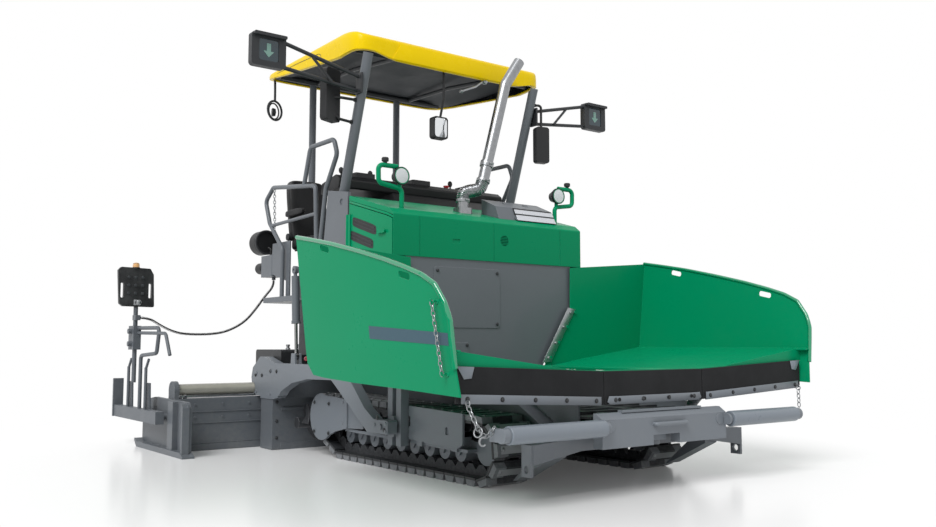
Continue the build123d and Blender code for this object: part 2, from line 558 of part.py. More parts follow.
# Platform with the lift cylinders' brackets, and the body below it.
deck_low = deck_top - deck_thick
deck = rounded(deck_rear, deck_front, -deck_half, deck_half, deck_low, deck_top, 30)
lift_y = (arm_in + arm_out) / 2
lift_bracket = block(lift_pivot_x - 35, lift_pivot_x + 35, deck_half - 40, deck_half + 26, deck_top - 30, lift_pivot_z + 26)
lift_bracket += block(lift_pivot_x - 35, lift_pivot_x + 35, deck_half, lift_y - cylinder_lug / 2 - gap, lift_pivot_z - 22, lift_pivot_z + 26)
lift_bracket += across(lift_pivot_x, lift_pivot_z, 11, deck_half, lift_y - cylinder_lug / 2 - gap)
save("platform_deck", joined(deck, *both(lift_bracket)))
body_half = deck_half - 30
body_step = 800.0
save("rear_body", joined(
    block(-560, 640, -frame_half, frame_half, frame_top + gap, body_step - gap),
    rounded(-840, 55, -body_half, body_half, body_step, deck_low - gap, 30),
    block(50, bulkhead_back - gap, -body_half, -320, body_step, 1160),
    block(50, bulkhead_back - gap, 320, body_half, body_step, 1160),
    block(-840, -560, -frame_half, frame_half, 640, body_step + 1),
))

# Operator's console, seats and rails.
deck_seat = deck_top + gap
panel_section = [(-700, deck_seat), (-180, deck_seat), (-180, 2040), (-250, 2150), (-330, 2170), (-700, 2080)]
console_arm = side_slab([(-560, 2120), (-260, 2150), (-240, 2220), (-300, 2262), (-545, 2215)], -840, 840, radius=18)
console_foot = side_slab(panel_section, -330, 330, radius=25)
display_bars = [rounded(-470, -300, y - 95, y + 95, 2190, 2300, 20) for y in (-560, 0, 560)]
save("operator_console", joined(console_foot, console_arm, *display_bars))

seat_in = post_y - arm_rest - 10 - seat_width
seat_out = seat_in + seat_width
cushion = rounded(-1260, -780, seat_in, seat_out, seat_height - 130, seat_height, 60)
pedestal = rounded(-1200, -840, seat_in + 50, seat_out - 50, deck_seat, seat_height - 120, 30)
backrest = side_slab([(-1270, seat_height - 60), (-1180, seat_height - 60), (-1255, seat_height + 480), (-1300, seat_height + 545),
                      (-1345, seat_height + 530), (-1360, seat_height + 440)], seat_in, seat_out, radius=24)
arm_rests = [side_slab([(-1290, 2030), (-960, 2010), (-960, 2060), (-1290, 2085)], y, y + arm_rest + 10, radius=18)
             for y in (seat_in - arm_rest, seat_out - 10)]
save("operator_seats", *both(joined(pedestal, cushion, backrest, *arm_rests)))

rail_y = post_y + post_d / 2 + rail_d / 2 + 1
front_loop = pipe([(-423, rail_y, deck_seat), (-423, rail_y, 1742), (-347, rail_y, 2141), (-165, rail_y, 2400), (-219, rail_y, 2527),
                   (-628, rail_y, 2530), (-735, rail_y, 2225)], rail_d, 60)
rear_loop = pipe([(-500, rail_y, deck_seat), (-500, rail_y, 1748), (-526, rail_y, 2192), (-1338, rail_y, 2287), (-1495, rail_y, 2180),
                  (-1404, rail_y, 1971), (-1132, rail_y, 1717), (-1132, rail_y, deck_seat)], rail_d, 55)
low_rail = bar((-1355, rail_y, 1945), (-512, rail_y, 1958), rail_d - 8)
save("handrails", *both(joined(front_loop, rear_loop, low_rail)))

# Electrical box on its bracket at the right rear corner, and the working lamps beside it.
box_low, box_out = 1496.0, 880.0
control_box = joined(
    rounded(-1640, -1400, -box_out, -740, box_low, 1690, 14),
    side_slab([(-1420, box_low + 20), (-1120, 1440), (-1120, deck_seat), (-1050, deck_seat), (-1050, 1786), (-1400, 1786)], -box_out + 4, -box_out + 16),
    bar((-1530, -800, box_low - 26), (-1530, -800, box_low + 5), 34),
)
save("control_box", control_box)
lamp_stay = pipe([(-1600, -800, 1690 + gap), (-1600, -800, 1760), (-1680, -840, 1800)], 24, 25)
drum = fillet(along(-840, 1820, 112, -1760, -1620).edges(), 20)
round_lamp = fillet(along(-835, 1585, 52, -1760, -1640 - gap).edges(), 12)
save("work_lamps", joined(lamp_stay, drum), round_lamp)

# Exhaust pipe with its clamp, heat shield and headlamps.
exhaust_d = 92.0
exhaust = pipe([(440, -110, 1880), (440, -110, 2075), (485, 40, 2120), (485, 290, 3014), (485, 442, 3237)], exhaust_d, 55) - under_hood
clamp = bar((485, 92, 2306), (485, 104, 2349), exhaust_d + 18)
foot_ring = block(440 - 62, 440 + 62, -110 - 62, -110 + 62, hood_z(440) - 20, hood_z(440) + 34)
foot_ring = fillet(foot_ring.edges().filter_by(Axis.Z), 30) - under_hood
save("exhaust_pipe", joined(exhaust, clamp, foot_ring))
shield_front, shield_back = 636.0, 400.0
shield = side_slab([(shield_front, hood_z(shield_front) - 20), (shield_back, hood_z(shield_back) - 20), (shield_back, hood_z(shield_back) + 120),
                    (shield_front - 56, hood_z(shield_front) + 110)], 110, 700) - under_hood
for share in (0.32, 0.68):
    slat_y = 110 + 590 * share
    shield += side_slab([(shield_front + 12, hood_z(shield_front)), (shield_front - 6, hood_z(shield_front) + 24),
                         (shield_front - 80, hood_z(shield_front) + 106), (shield_back + 60, hood_z(shield_back) + 104),
                         (shield_back + 60, hood_z(shield_back) + 92)], slat_y - 22, slat_y + 22) - under_hood
save("heat_shield", shield)
lamp_x, lamp_y, lamp_z = 560.0, 779.0, 2124.0
lamp_loop = pipe([(lamp_x, 760, 1880), (lamp_x, 760, 2030), (lamp_x, 960, 2060), (lamp_x, 963, 2193), (lamp_x, 800, 2193)], 36, 40) - under_hood
lamp_body = loft([Plane.YZ.offset(lamp_x - 50) * Pos(lamp_y, lamp_z) * Circle(38), Plane.YZ.offset(lamp_x + 15) * Pos(lamp_y, lamp_z) * Circle(62)])
lamp_rim = along(lamp_y, lamp_z, 64, lamp_x + 14, lamp_x + 34)
save("headlamps", *both(joined(lamp_loop, lamp_body, lamp_rim, bar((lamp_x, lamp_y, 2030), (lamp_x, lamp_y, 2080), 30))))

# Roof moulding with its hollow, front panel and side seam; posts; signal panels and mirrors.
brow = roof_crown - 200
side_low = roof_crown - 182
roof_line = [(roof_front, roof_low), (roof_front - 22, brow - 10), (-60, brow + 95), (-420, roof_crown - 30), (-900, roof_crown),
             (roof_rear, roof_crown - 40), (roof_rear, side_low), (-1060, side_low - 60), (-520, side_low - 110), (-100, roof_low + 15)]
roof_cross = [(-roof_half, roof_low - 60), (-roof_half, roof_crown - roof_side_height), (-700, roof_crown - 50), (0, roof_crown),
              (700, roof_crown - 50), (roof_half, roof_crown - roof_side_height), (roof_half, roof_low - 60)]
roof = side_slab(roof_line, -roof_half, roof_half, radius=22) & cross_slab(roof_cross, roof_rear - 10, roof_front + 10, radius=60)
plan = flat_slab([(roof_rear, -roof_half + 40), (roof_rear + 60, -roof_half), (-40, -roof_half), (roof_front - 30, -roof_half + 50),
                  (roof_front, -700), (roof_front, 700), (roof_front - 30, roof_half - 50), (-40, roof_half),
                  (roof_rear + 60, roof_half), (roof_rear, roof_half - 40)], roof_low - 100, roof_crown + 10, radius=30)
roof = roof & plan
roof_inside = roof_crown - 160
hollow = side_slab([(roof_front - 60, roof_low - 60), (roof_front - 60, brow - 50), (-300, roof_inside), (roof_rear + roof_wall, roof_inside),
                    (roof_rear + roof_wall, roof_low - 60)], -roof_half + roof_wall, roof_half - roof_wall)
hollow = hollow & cross_slab([(y, z - roof_wall * 3) for y, z in roof_cross], roof_rear, roof_front)
roof = roof - hollow
brow_panel = cross_slab([(-640, roof_low + 12), (-560, brow - 20), (560, brow - 20), (640, roof_low + 12)], roof_front - 20, roof_front + 5, radius=20)
roof = roof + brow_panel
for side in (-1, 1):
    roof -= block(40, 46, side * roof_half - 4, side * roof_half + 4, roof_low, brow + 60)
save("roof_canopy", roof)

post_top = 3122.0
front_post = pipe([(-163, post_y, deck_seat), (-163, post_y, 2063), (205, post_y, post_top + 20)], post_d, 60)
under_roof = Pos(0, 0, -gap) * roof
front_post = (front_post - under_roof).solids().sort_by(Axis.Z)[0]
rear_post = bar((-1460, rear_post_y, deck_seat), (-1460, rear_post_y, side_low + 60), rear_post_d)
rear_post = (rear_post - under_roof).solids().sort_by(Axis.Z)[0]
post_foot = rounded(-1460 - 60, -1460 + 60, rear_post_y - 60, rear_post_y + 60, deck_seat, deck_seat + 14, 15)
save("roof_posts", *both(front_post), *both(joined(rear_post, post_foot)))

arm_seat_y = post_y + post_d / 2 + gap
screen_low, screen_high = 2891.0, 3137.0
signal_in, signal_out = 1515.0, 1784.0
housing = rounded(100, 158, signal_in, signal_out, screen_low, screen_high, 28, Axis.X)
screen = rounded(150, 166, signal_in + 58, signal_out - 58, screen_low + 43, screen_high - 43, 8, Axis.X)
visor = rounded(140, 196, signal_in + 8, signal_out - 8, screen_high - 30, screen_high - 6, 8, Axis.X)
signal_arm = joined(
    housing - screen, visor,
    bar((150, arm_seat_y + 8, 2952), (132, signal_in + 6, 3100), 30),
    bar((128, arm_seat_y + 8, 2846), (128, signal_in + 6, 2915), 30),
    bar((150, 1130, 2872), (140, 1290, 3034), 22),
    block(110, 195, arm_seat_y, arm_seat_y + 14, 2820, 2980),
)
save("signal_panels", *both(signal_arm))


def mirror_housing(x, y, z, half_width, half_height, lean):
    body = rounded(-32, 32, -half_width, half_width, -half_height, half_height, 26, Axis.X)
    glass = rounded(-40, -26, -half_width + 14, half_width - 14, -half_height + 14, half_height - 14, 14, Axis.X)
    return Pos(x, y, z) * Rot(0, 0, lean) * (body - glass)


def stay_pad(x, side, z):
    return across(x, z, 17, side * arm_seat_y, side * (arm_seat_y + 12))


left_mirror = joined(
    stay_pad(162, 1, 3008),
    pipe([(162, arm_seat_y + 6, 3008), (185, 948, 3008), (185, 948, 2780)], 22, 26),
    mirror_housing(185, 948, 2648, 65, 162, -12),
)
right_mirror = joined(
    stay_pad(85, -1, 2785), stay_pad(28, -1, 2620),
    pipe([(85, -arm_seat_y - 6, 2785), (80, -1010, 2785), (40, -1080, 2785)], 22, 26),
    pipe([(40, -1080, 2680), (60, -1010, 2620), (28, -arm_seat_y - 6, 2620)], 22, 26),
    mirror_housing(40, -1085, 2800, 85, 205, 24),
)
inner_mirror = joined(
    pipe([(165, -102, roof_low + 75), (165, -102, 2900), (110, -102, 2740)], 20, 30) - under_roof,
    mirror_housing(95, -102, 2670, 72, 92, 0),
)
save("mirrors", left_mirror, right_mirror, *inner_mirror.solids().sort_by(Axis.Z)[:1])

# Tow arms: curved side plates from the tow pin over the track drive to the screed, with the lift cylinders' forks.
arm_top = 727.0
arm_outline = [(-905, arm_top), (-250, arm_top), (160, 702), (331, 605), (519, 435), (647, 366), (tow_x + 86, 366), (tow_x + 86, tow_z - 48),
               (560, tow_z - 48), (307, 437), (110, 563), (22, 617), (-373, 612), (-650, 570), (-837, 500), (-905, 440)]
arm_plate = side_slab(arm_outline, arm_in, arm_out, radius=14)
tail_outline = [(-900, 445), (-1000, 425), (-1245, 425), (-1245, ext_top + 9), (-1400, ext_top + 9), (-1440, 600), (-1413, 683), (-1263, 780), (-1180, 780), (-960, 727), (-900, 727)]
tail_plate = side_slab(tail_outline, arm_in, arm_out, radius=0)
tube_hole = across(tube_x, tube_z, tube_d / 2 + 6, arm_in - 5, arm_out + 5)
lift_fork = [side_slab([(lift_eye_x - 42, arm_top - 10), (lift_eye_x + 42, arm_top - 10), (lift_eye_x + 30, lift_eye_z + 24),
                        (lift_eye_x - 30, lift_eye_z + 24)], y0, y1, radius=9)
             for y0, y1 in ((arm_in + 8, lift_y - cylinder_lug / 2 - gap), (lift_y + cylinder_lug / 2 + gap, arm_out - 8))]
arm_bolts = [across(x, z, 13, arm_out - 1, arm_out + 7) for x, z in ((660, 330), (805, 345), (805, 292), (-1330, 640), (-1330, 480), (-1050, 470), (-1050, 660))]
tow_arm = joined(arm_plate, tail_plate, *lift_fork, *arm_bolts)
tow_arm -= tube_hole
tow_arm -= across(tow_x, tow_z, tow_pin_d / 2 + fit, arm_in - 1, arm_out + 8)
save("tow_arms", *both(tow_arm))

# Screed: main box with side plates, the shelf over the extensions, guide sleeves, walkway and boxes.
side_in = arm_in - gap - 12
main_half = side_in + 3
cheek = side_slab([(screed_front, 4), (screed_front, 424), (-1240, 424), (-1240, 4)], main_half, arm_out - 6)
main_plate = side_slab([(screed_front, 30), (screed_front, 640), (shelf_rear, shelf_top), (shelf_rear, 562), (screed_rear, 562),
                        (screed_rear, 30)], side_in, arm_in - gap)
screed_frame = joined(
    block(screed_front, screed_rear, -main_half, main_half, 60, 430),
    block(screed_front + 25, shelf_rear, -main_half, main_half, shelf_low, shelf_top),
    block(screed_front + 25, screed_rear + 20, -main_half, main_half, 430, shelf_low),
    block(screed_front + 3, screed_rear, -main_half, main_half, 0, 60),
    block(screed_front - 5, screed_front + 12, -main_half, main_half, 330, 352),
    *both(main_plate), *both(cheek),
)
sleeve = block(tube_x - 65, tube_x + 65, 812, side_in + 2, ext_top + 3, shelf_low + 2)
screed_frame = joined(screed_frame, *both(sleeve)) - across(tube_x, tube_z, tube_d / 2 + fit, -side_in - 5, side_in + 5)
save("screed_frame", screed_frame)
walk_front = shelf_rear - gap
walkway_ribs = [block(overall_rear, walk_front, y - 12, y + 12, 440, 472) for y in (-700, 0, 700)]
save("screed_walkway", joined(
    block(overall_rear, walk_front, -side_in, side_in, 470, 500),
    block(walk_front - 30, walk_front, -side_in, side_in, 498, 630),
    block(overall_rear, overall_rear + 12, -side_in, side_in, 430, 500),
    *walkway_ribs,
))
box_top = 840.0
save("screed_boxes", joined(
    block(-1590, -990, -side_in + 6, side_in - 6, shelf_top + gap, 662),
    *both(rounded(-1580, -1060, 520, side_in - 10, 655, box_top, 25, Axis.Y)),
    rounded(-1540, -1100, -330, 330, 655, 800, 20, Axis.Y),
    *both(pipe([(-1200, 460, 650), (-1200, 460, 790), (-1200, 380, 790), (-1200, 380, 650)], 26, 20)),
))

# Extensions that slide out on their guide tubes, with heated plate, ribs, feed plate and end plates.
rib_zs = (231.0, 324.0)
face_x = ext_front - 8
ext_ribs = [block(face_x - 4, face_x + 7, ext_in, ext_out, z - 3, z + 3) for z in rib_zs]
ext_bolts = [along(y, z, 10, face_x - 2, face_x + 8) for y in (1100, 1340, 1580) for z in (278, 385)]
gusset_ys = (1000.0, 1300.0, 1600.0)
ext_gussets = [side_slab([(face_x - 40, 210), (ext_rear + 40, 210), (ext_rear + 120, 300), (face_x - 40, ext_top - 14)], y - 6, y + 6) for y in gusset_ys]
foot_front = block(tube_x - 72, tube_x + 72, ext_out - 40, ext_out, 60, tube_z)
extension = joined(
    rounded(face_x, ext_rear, ext_in, ext_out, 0, 60, 8, Axis.Y),
    block(face_x, face_x - 44, ext_in, ext_out, 60, ext_top - 6),
    block(face_x - 4, face_x - 70, ext_in, ext_out, ext_top - 12, ext_top),
    block(face_x, ext_rear, ext_in, ext_out, 200, 216),
    across(tube_x, tube_z, tube_d / 2, 812, ext_out),
    across(tube_x, tube_z, 74, ext_out - 42, ext_out),
    foot_front, *ext_ribs, *ext_bolts, *ext_gussets,
)
save_sides("extension", extension)

end_in = ext_out + end_plate_gap
end_out = end_in + end_plate_thick
end_sheet = side_slab([(-900, 0), (-900, 380), (-960, 430), (-1700, 440), (-2020, 400), (-2020, 80), (-1960, 0)], end_in, end_out, radius=20)
skid = side_slab([(-850, 0), (-850, 14), (-905, 44), (-1990, 44), (-2050, 70), (-2050, 50), (-1990, 0)], end_in - 8, end_out + 60)
front_angle = joined(
    block(-1070, -880, end_out - 2, end_out + 12, 20, 415),
    side_slab([(-905, 20), (-905, 420), (-880, 390), (-880, 20)], end_out, end_out + 55),
    block(-1245, -1130, end_out - 2, end_out + 46, 30, 425),
)
carrier = block(-1600, -1330, ext_out + gap, end_in + 2, 100, 400)
end_slot = side_slab([(-990, 250), (-950, 250), (-950, 360), (-990, 360)], end_in - 10, end_out + 30, radius=15)
end_hinges = [across(x, 290, 26, end_out - 2, end_out + 60) for x in (-1420, -1820)]
save_sides("end_plate", joined(end_sheet, skid, front_angle, carrier, *end_hinges) - end_slot)

# Remote panel on its pole, with the box beam, grab tubes and height spindles of the end gear.
beam_y = end_out + 60 + gap
pole_y = end_out + pole_out
clip_z = 1118.0
panel_plane = [(pole_y - 150, 1212), (pole_y + 120, 1216), (pole_y + 150, 1240), (pole_y + 165, 1530), (pole_y + 140, 1558),
               (pole_y - 110, 1552), (pole_y - 140, 1500)]
remote_plate = cross_slab(panel_plane, pole_x - 12, pole_x + 26, radius=14)
grips = [rounded(pole_x - 30, pole_x + 40, y - 14, y + 14, 1290, 1420, 12, Axis.X) for y in (pole_y - 112, pole_y + 128)]
for grip in grips:
    remote_plate -= grip
buttons = [along(pole_y + y, z, 13, pole_x + 24, pole_x + 34) for y in (-45, 15, 75) for z in (1330, 1400, 1470)]
beacon = fillet(bar((pole_x + 5, pole_y + 10, 1550), (pole_x + 5, pole_y + 10, 1598), 56).edges().sort_by(Axis.Z)[-1], 12)
end_beam = block(-2440, -1290, beam_y, beam_y + 70, 239, 340)
beam_back = block(-2462, -2440, beam_y - 10, beam_y + 80, 238, 578)
spindle_row = []
for spindle_x in (-2150.0, -1673.0):
    spindle_row += [
        bar((spindle_x, beam_y + 35, 335), (spindle_x, beam_y + 35, 690), 26),
        side_slab([(spindle_x - 55, 340), (spindle_x + 55, 340), (spindle_x + 40, 560), (spindle_x - 40, 560)], beam_y + 2, beam_y + 14),
        bar((spindle_x, beam_y + 35, 680), (spindle_x + 70, beam_y + 35, 760), 22),
    ]
grab_tube = pipe([(-1821, beam_y + 35, 335), (-1821, beam_y + 35, 790), (-1410, beam_y + 35, 812), (-1353, beam_y + 35, 1022),
                  (-2010, beam_y + 35, 1028)], 32, 42)
hook_tube = pipe([(-1900, beam_y + 35, 985), (-1200, beam_y + 35, 975), (-1087, beam_y + 35, 800)], 28, 60)
clamp_block = block(-2040, -1900, beam_y + 15, pole_y + 30, 840, 1047)
thumb_knobs = [across(pole_x, z, 22, pole_y + 25, pole_y + 62) for z in (890, 1000)]
remote = joined(
    bar((pole_x, pole_y, 556), (pole_x, pole_y, 1300), pole_d),
    remote_plate, *buttons, beacon, end_beam, beam_back, *spindle_row, grab_tube, hook_tube, clamp_block, *thumb_knobs,
    block(pole_x - 25, pole_x + 60, pole_y - 25, pole_y + 19, clip_z - 22, clip_z + 22),
)
save_sides("remote_panel", remote)

# Curly cord from the electrical box to the right remote panel: two lengths of one cord, meeting in mid-span.
cord_d = 24.0
cord_middle = (-1727, -1425, 974)
upper_route = [(-1530, -800, box_low - 26), (-1530, -800, 1412), (-1552, -870, 1325), (-1577, -950, 1200), (-1606, -1040, 1085),
               (-1648, -1180, 1002), (-1690, -1320, 974), cord_middle]
lower_route = [cord_middle, (-1764, -1530, 974), (-1812, -1625, 1000), (-1870, -1712, 1052), (-1930, -1795, clip_z),
               (-1930, -pole_y + 25, clip_z)]


def cord_length(name, route):
    """Straight runs joined by arcs as large as the runs allow; returns the tube and prints its radii."""
    runs = [Vector(*b) - Vector(*a) for a, b in zip(route, route[1:])]
    radii = []
    for before, after in zip(runs, runs[1:]):
        half_turn = radians(before.get_angle(after)) / 2
        radii.append(0.45 * min(before.length, after.length) * cos(half_turn) / sin(half_turn))
    path = FilletPolyline(*route, radius=radii)
    tube = sweep(Plane(origin=path @ 0, z_dir=path % 0) * Circle(cord_d / 2), path=path)
    section = 3.14159265 * cord_d ** 2 / 4
    print(name, "radii", [round(r) for r in radii], "length", round(path.length), "volume ratio", round(tube.volume / (section * path.length), 4))
    return tube


save("cord_upper", cord_length("cord_upper", upper_route))
save("cord_lower", cord_length("cord_lower", lower_route))

# Augers: helical flights on a hollow shaft that turns on the hanger's bar.
def auger_screw():
    bore = across(auger_x, auger_z, auger_bar_d / 2 + fit, auger_in - 1, 200)
    shaft_piece = across(auger_x, auger_z, auger_shaft_d / 2, auger_in, auger_out)
    lead = (auger_out - auger_in - 60) / auger_turns
    path = Helix(lead, lead * auger_turns, auger_r / 2 + auger_shaft_d / 4)
    flight_height = auger_r - auger_shaft_d / 2 + 8
    section = Plane(origin=path @ 0, x_dir=(1, 0, 0), z_dir=path % 0) * Rectangle(flight_height, blade_thick)
    flight = sweep(section, path=path, is_frenet=True)
    flight = Pos(auger_x, auger_in + 30, auger_z) * Rot(-90, 0, 0) * flight
    return joined(shaft_piece, flight) - bore


save_sides("auger", auger_screw())


# Cylinders: the barrel turns on its pivot and the rod slides in it.
def cylinder(pivot, eye, bore_length, outer, rod, side_dir):
    """Barrel with a lug at pivot and rod with an eye at eye; both lugs are discs along side_dir."""
    start, end = Vector(*pivot), Vector(*eye)
    way = (end - start).normalized()
    side = Vector(*side_dir) * (cylinder_lug / 2)
    neck = outer / 2 + 20
    barrel = bar(tuple(start + way * neck), tuple(start + way * bore_length), outer)
    barrel = barrel + bar(tuple(start), tuple(start + way * (neck + 2)), cylinder_lug)
    barrel = barrel + bar(tuple(start + way * (bore_length - 24)), tuple(start + way * bore_length), outer + 10)
    barrel = barrel + bar(tuple(start - side), tuple(start + side), outer)
    barrel = barrel - bar(tuple(start + way * (neck + 12)), tuple(start + way * (bore_length + 1)), rod + 2 * fit)
    rod_start = start + way * (bore_length - 60)
    piston = bar(tuple(rod_start), tuple(end), rod) + bar(tuple(end - side), tuple(end + side), outer * 0.9)
    return barrel, piston


pin_r = 11.0
lift_barrel, lift_rod = cylinder((lift_pivot_x, lift_y, lift_pivot_z), (lift_eye_x, lift_y, lift_eye_z), 445, 64, 28, (0, 1, 0))
save_sides("lift_barrel", lift_barrel - across(lift_pivot_x, lift_pivot_z, pin_r + fit, lift_y - 20, lift_y + 20))
save_sides("lift_rod", lift_rod)
wing_barrel, wing_rod = cylinder((wing_cylinder_x, wing_pivot_y, wing_pivot_z), (wing_cylinder_x, wing_eye_y, wing_eye_z), 540, 70, 28, (1, 0, 0))
save_sides("wing_barrel", wing_barrel - along(wing_pivot_y, wing_pivot_z, 12 + fit, wing_cylinder_x - 20, wing_cylinder_x + 20))
save_sides("wing_rod", wing_rod)
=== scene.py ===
# Looks of the tracked asphalt paver: finishes, soft parts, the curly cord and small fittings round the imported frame.
# Metres, +X forward to the push rollers, +Y to the machine's left, +Z up, ground at z = 0.
import json
import math

import bmesh
import bpy
import numpy as np
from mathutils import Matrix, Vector


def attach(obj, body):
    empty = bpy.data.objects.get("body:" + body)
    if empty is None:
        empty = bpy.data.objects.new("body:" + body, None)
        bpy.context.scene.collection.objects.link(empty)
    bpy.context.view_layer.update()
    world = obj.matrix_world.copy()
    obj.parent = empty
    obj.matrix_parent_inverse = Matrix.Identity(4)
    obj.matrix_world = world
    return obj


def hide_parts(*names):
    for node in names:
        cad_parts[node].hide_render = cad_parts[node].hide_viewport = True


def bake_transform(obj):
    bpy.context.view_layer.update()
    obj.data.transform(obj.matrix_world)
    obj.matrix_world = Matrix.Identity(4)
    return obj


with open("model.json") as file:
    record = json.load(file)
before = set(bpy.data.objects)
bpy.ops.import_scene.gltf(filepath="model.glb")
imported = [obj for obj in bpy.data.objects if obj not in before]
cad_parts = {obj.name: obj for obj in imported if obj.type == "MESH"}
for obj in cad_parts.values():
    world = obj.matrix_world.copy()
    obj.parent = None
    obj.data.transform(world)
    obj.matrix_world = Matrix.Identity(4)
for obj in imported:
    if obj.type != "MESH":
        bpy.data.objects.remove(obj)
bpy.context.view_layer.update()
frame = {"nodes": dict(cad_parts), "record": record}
nodes = frame["nodes"]
sides = (("left", 1), ("right", -1))
ahead, aside, upward = (1, 0, 0), (0, 1, 0), (0, 0, 1)
print("frame loaded:", len(nodes), "nodes")

# where the camera stands, the way it looks in degrees, its lens and film in millimetres
cameraSet = {"place": (6.199, -4.375, 0.891), "yaw": 143.14, "pitch": 5.02, "lens": 35.13, "sensor": 36.0,
             "clip": (0.05, 200)}


def addObject(name, data):
    thing = bpy.data.objects.new(name, data)
    bpy.context.scene.collection.objects.link(thing)
    return thing


def turnTo(way):
    return Vector(way).to_track_quat("-Z", "Y").to_euler()


def setCamera():
    data = bpy.data.cameras.new("camera")
    data.lens, data.sensor_width = cameraSet["lens"], cameraSet["sensor"]
    data.clip_start, data.clip_end = cameraSet["clip"]
    camera = addObject("camera", data)
    yaw, pitch = math.radians(cameraSet["yaw"]), math.radians(cameraSet["pitch"])
    camera.location = cameraSet["place"]
    camera.rotation_euler = turnTo((math.cos(pitch) * math.cos(yaw), math.cos(pitch) * math.sin(yaw),
                                    math.sin(pitch)))
    bpy.context.scene.camera = camera


setCamera()


def colour(text):
    # sRGB hex to linear: c / 12.92 up to 0.04045, else ((c + 0.055) / 1.055) to the power 2.4
    parts = [int(text[i:i + 2], 16) / 255 for i in (1, 3, 5)]
    return tuple(c / 12.92 if c <= 0.04045 else ((c + 0.055) / 1.055) ** 2.4 for c in parts) + (1.0,)


def addNode(tree, kind, sockets=None, settings=None):
    # one shader node with its settings; a socket takes a number, a hex colour or another node's output
    node = tree.nodes.new("ShaderNode" + kind)
    for name, value in (settings or {}).items():
        setattr(node, name, value)
    for name, value in (sockets or {}).items():
        if isinstance(value, bpy.types.NodeSocket):
            tree.links.new(value, node.inputs[name])
        else:
            node.inputs[name].default_value = colour(value) if isinstance(value, str) else value
    return node


def newMaterial(name):
    # an empty node tree and the place on the object that its patterns are drawn by
    material = bpy.data.materials.new(name)
    material.use_nodes = True
    tree = material.node_tree
    tree.nodes.clear()
    return tree, addNode(tree, "TexCoord").outputs["Object"]


def finishMaterial(name, tree, sockets):
    shader = addNode(tree, "BsdfPrincipled", sockets)
    addNode(tree, "OutputMaterial", {"Surface": shader.outputs[0]})
    return bpy.data.materials[name]


def spanOf(tree, value, fromLow, fromHigh, low, high):
    # value carried in a straight line from one span to another, and held at its ends
    return addNode(tree, "MapRange", {
        "Value": value, "From Min": fromLow, "From Max": fromHigh, "To Min": low, "To Max": high}).outputs[0]


def blendOf(tree, share, first, second):
    return addNode(tree, "Mix", {"Factor": share, 6: first, 7: second}, {"data_type": "RGBA"}).outputs[2]


def cloudOf(tree, place, millimetres, detail=4.0, roughness=0.6):
    # noise whose blobs are about that many millimetres across
    return addNode(tree, "TexNoise", {
        "Vector": place, "Scale": 1000.0 / millimetres, "Detail": detail, "Roughness": roughness}).outputs["Fac"]


def edgeOf(tree, radius):
    # the normal rounded over radius, and 0 to 1 where it turns away from the face: the mask of the paler edges, which
    # are wear and, on enamel, also a painted edge highlight
    rounded = addNode(tree, "Bevel", {"Radius": radius}, {"samples": 4}).outputs[0]
    flat = addNode(tree, "NewGeometry").outputs["Normal"]
    turn = addNode(tree, "VectorMath", {0: rounded, 1: flat}, {"operation": "DOT_PRODUCT"})
    return rounded, spanOf(tree, turn.outputs["Value"], 1.0, 0.8, 0.0, 1.0)


def timesOf(tree, first, second, operation="MULTIPLY"):
    return addNode(tree, "Math", {0: first, 1: second}, {"operation": operation}).outputs[0]


def axisOf(tree, place, axis):
    return addNode(tree, "SeparateXYZ", {0: place}).outputs[axis]


def bumpOf(tree, height, distance, strength, **rest):
    return addNode(tree, "Bump", {"Height": height, "Distance": distance, "Strength": strength, **rest}).outputs[0]


def paintedSteel(name, hue, worn, rough=0.34, grime=0.2, gloss=0.3, radius=0.003, coat=0.1, pattern=None):
    # Two-pack enamel sprayed on sheet steel: smooth and slightly wavy (waves 18 mm, coarser than life so that they
    # show), thin road dust in clouds half a metre wide that thickens near the ground, paler edges that are partly
    # rubbed paint and partly a painted edge highlight.
    tree, place = newMaterial(name)
    clouds, streaks = cloudOf(tree, place, 500, 5.0), cloudOf(tree, place, 45, 6.0, 0.7)
    patch = timesOf(tree, clouds, streaks)
    nearGround = spanOf(tree, axisOf(tree, place, "Z"), 1.1, 0.0, 0.2, 1.0)
    dust = timesOf(tree, spanOf(tree, patch, 0.18, 0.42, 0.0, grime), nearGround)
    normal, edge = edgeOf(tree, radius)
    shade = blendOf(tree, spanOf(tree, clouds, 0.35, 0.65, 0.0, 0.35), hue, pattern or hue)
    dusty = blendOf(tree, dust, shade, "#8f8d86")
    return finishMaterial(name, tree, {
        # paler colour on the edges: rubbed paint, and also a painted highlight along them
        "Base Color": blendOf(tree, timesOf(tree, edge, streaks), dusty, worn),
        "Roughness": spanOf(tree, patch, 0.1, 0.5, rough - 0.05, rough + 0.14),
        "Normal": bumpOf(tree, cloudOf(tree, place, 18, 1.0), 0.0005, 0.3, Normal=normal),
        "IOR": 1.5, "Specular IOR Level": gloss, "Coat Weight": coat, "Coat Roughness": 0.08})


def wornRubber(name, hue, paler):
    # Moulded black rubber: matt, a fine cloth-like grain drawn at 11 mm, with pale dust rubbed into it.
    tree, place = newMaterial(name)
    skin = blendOf(tree, spanOf(tree, cloudOf(tree, place, 200, 6.0), 0.42, 0.72, 0.0, 0.3), hue, paler)
    normal, edge = edgeOf(tree, 0.003)
    return finishMaterial(name, tree, {
        "Base Color": blendOf(tree, timesOf(tree, edge, 0.35), skin, "#6a6b6d"), "Roughness": 0.75, "IOR": 1.52,
        "Specular IOR Level": 0.25, "Normal": bumpOf(tree, cloudOf(tree, place, 11), 0.0012, 0.4, Normal=normal)})


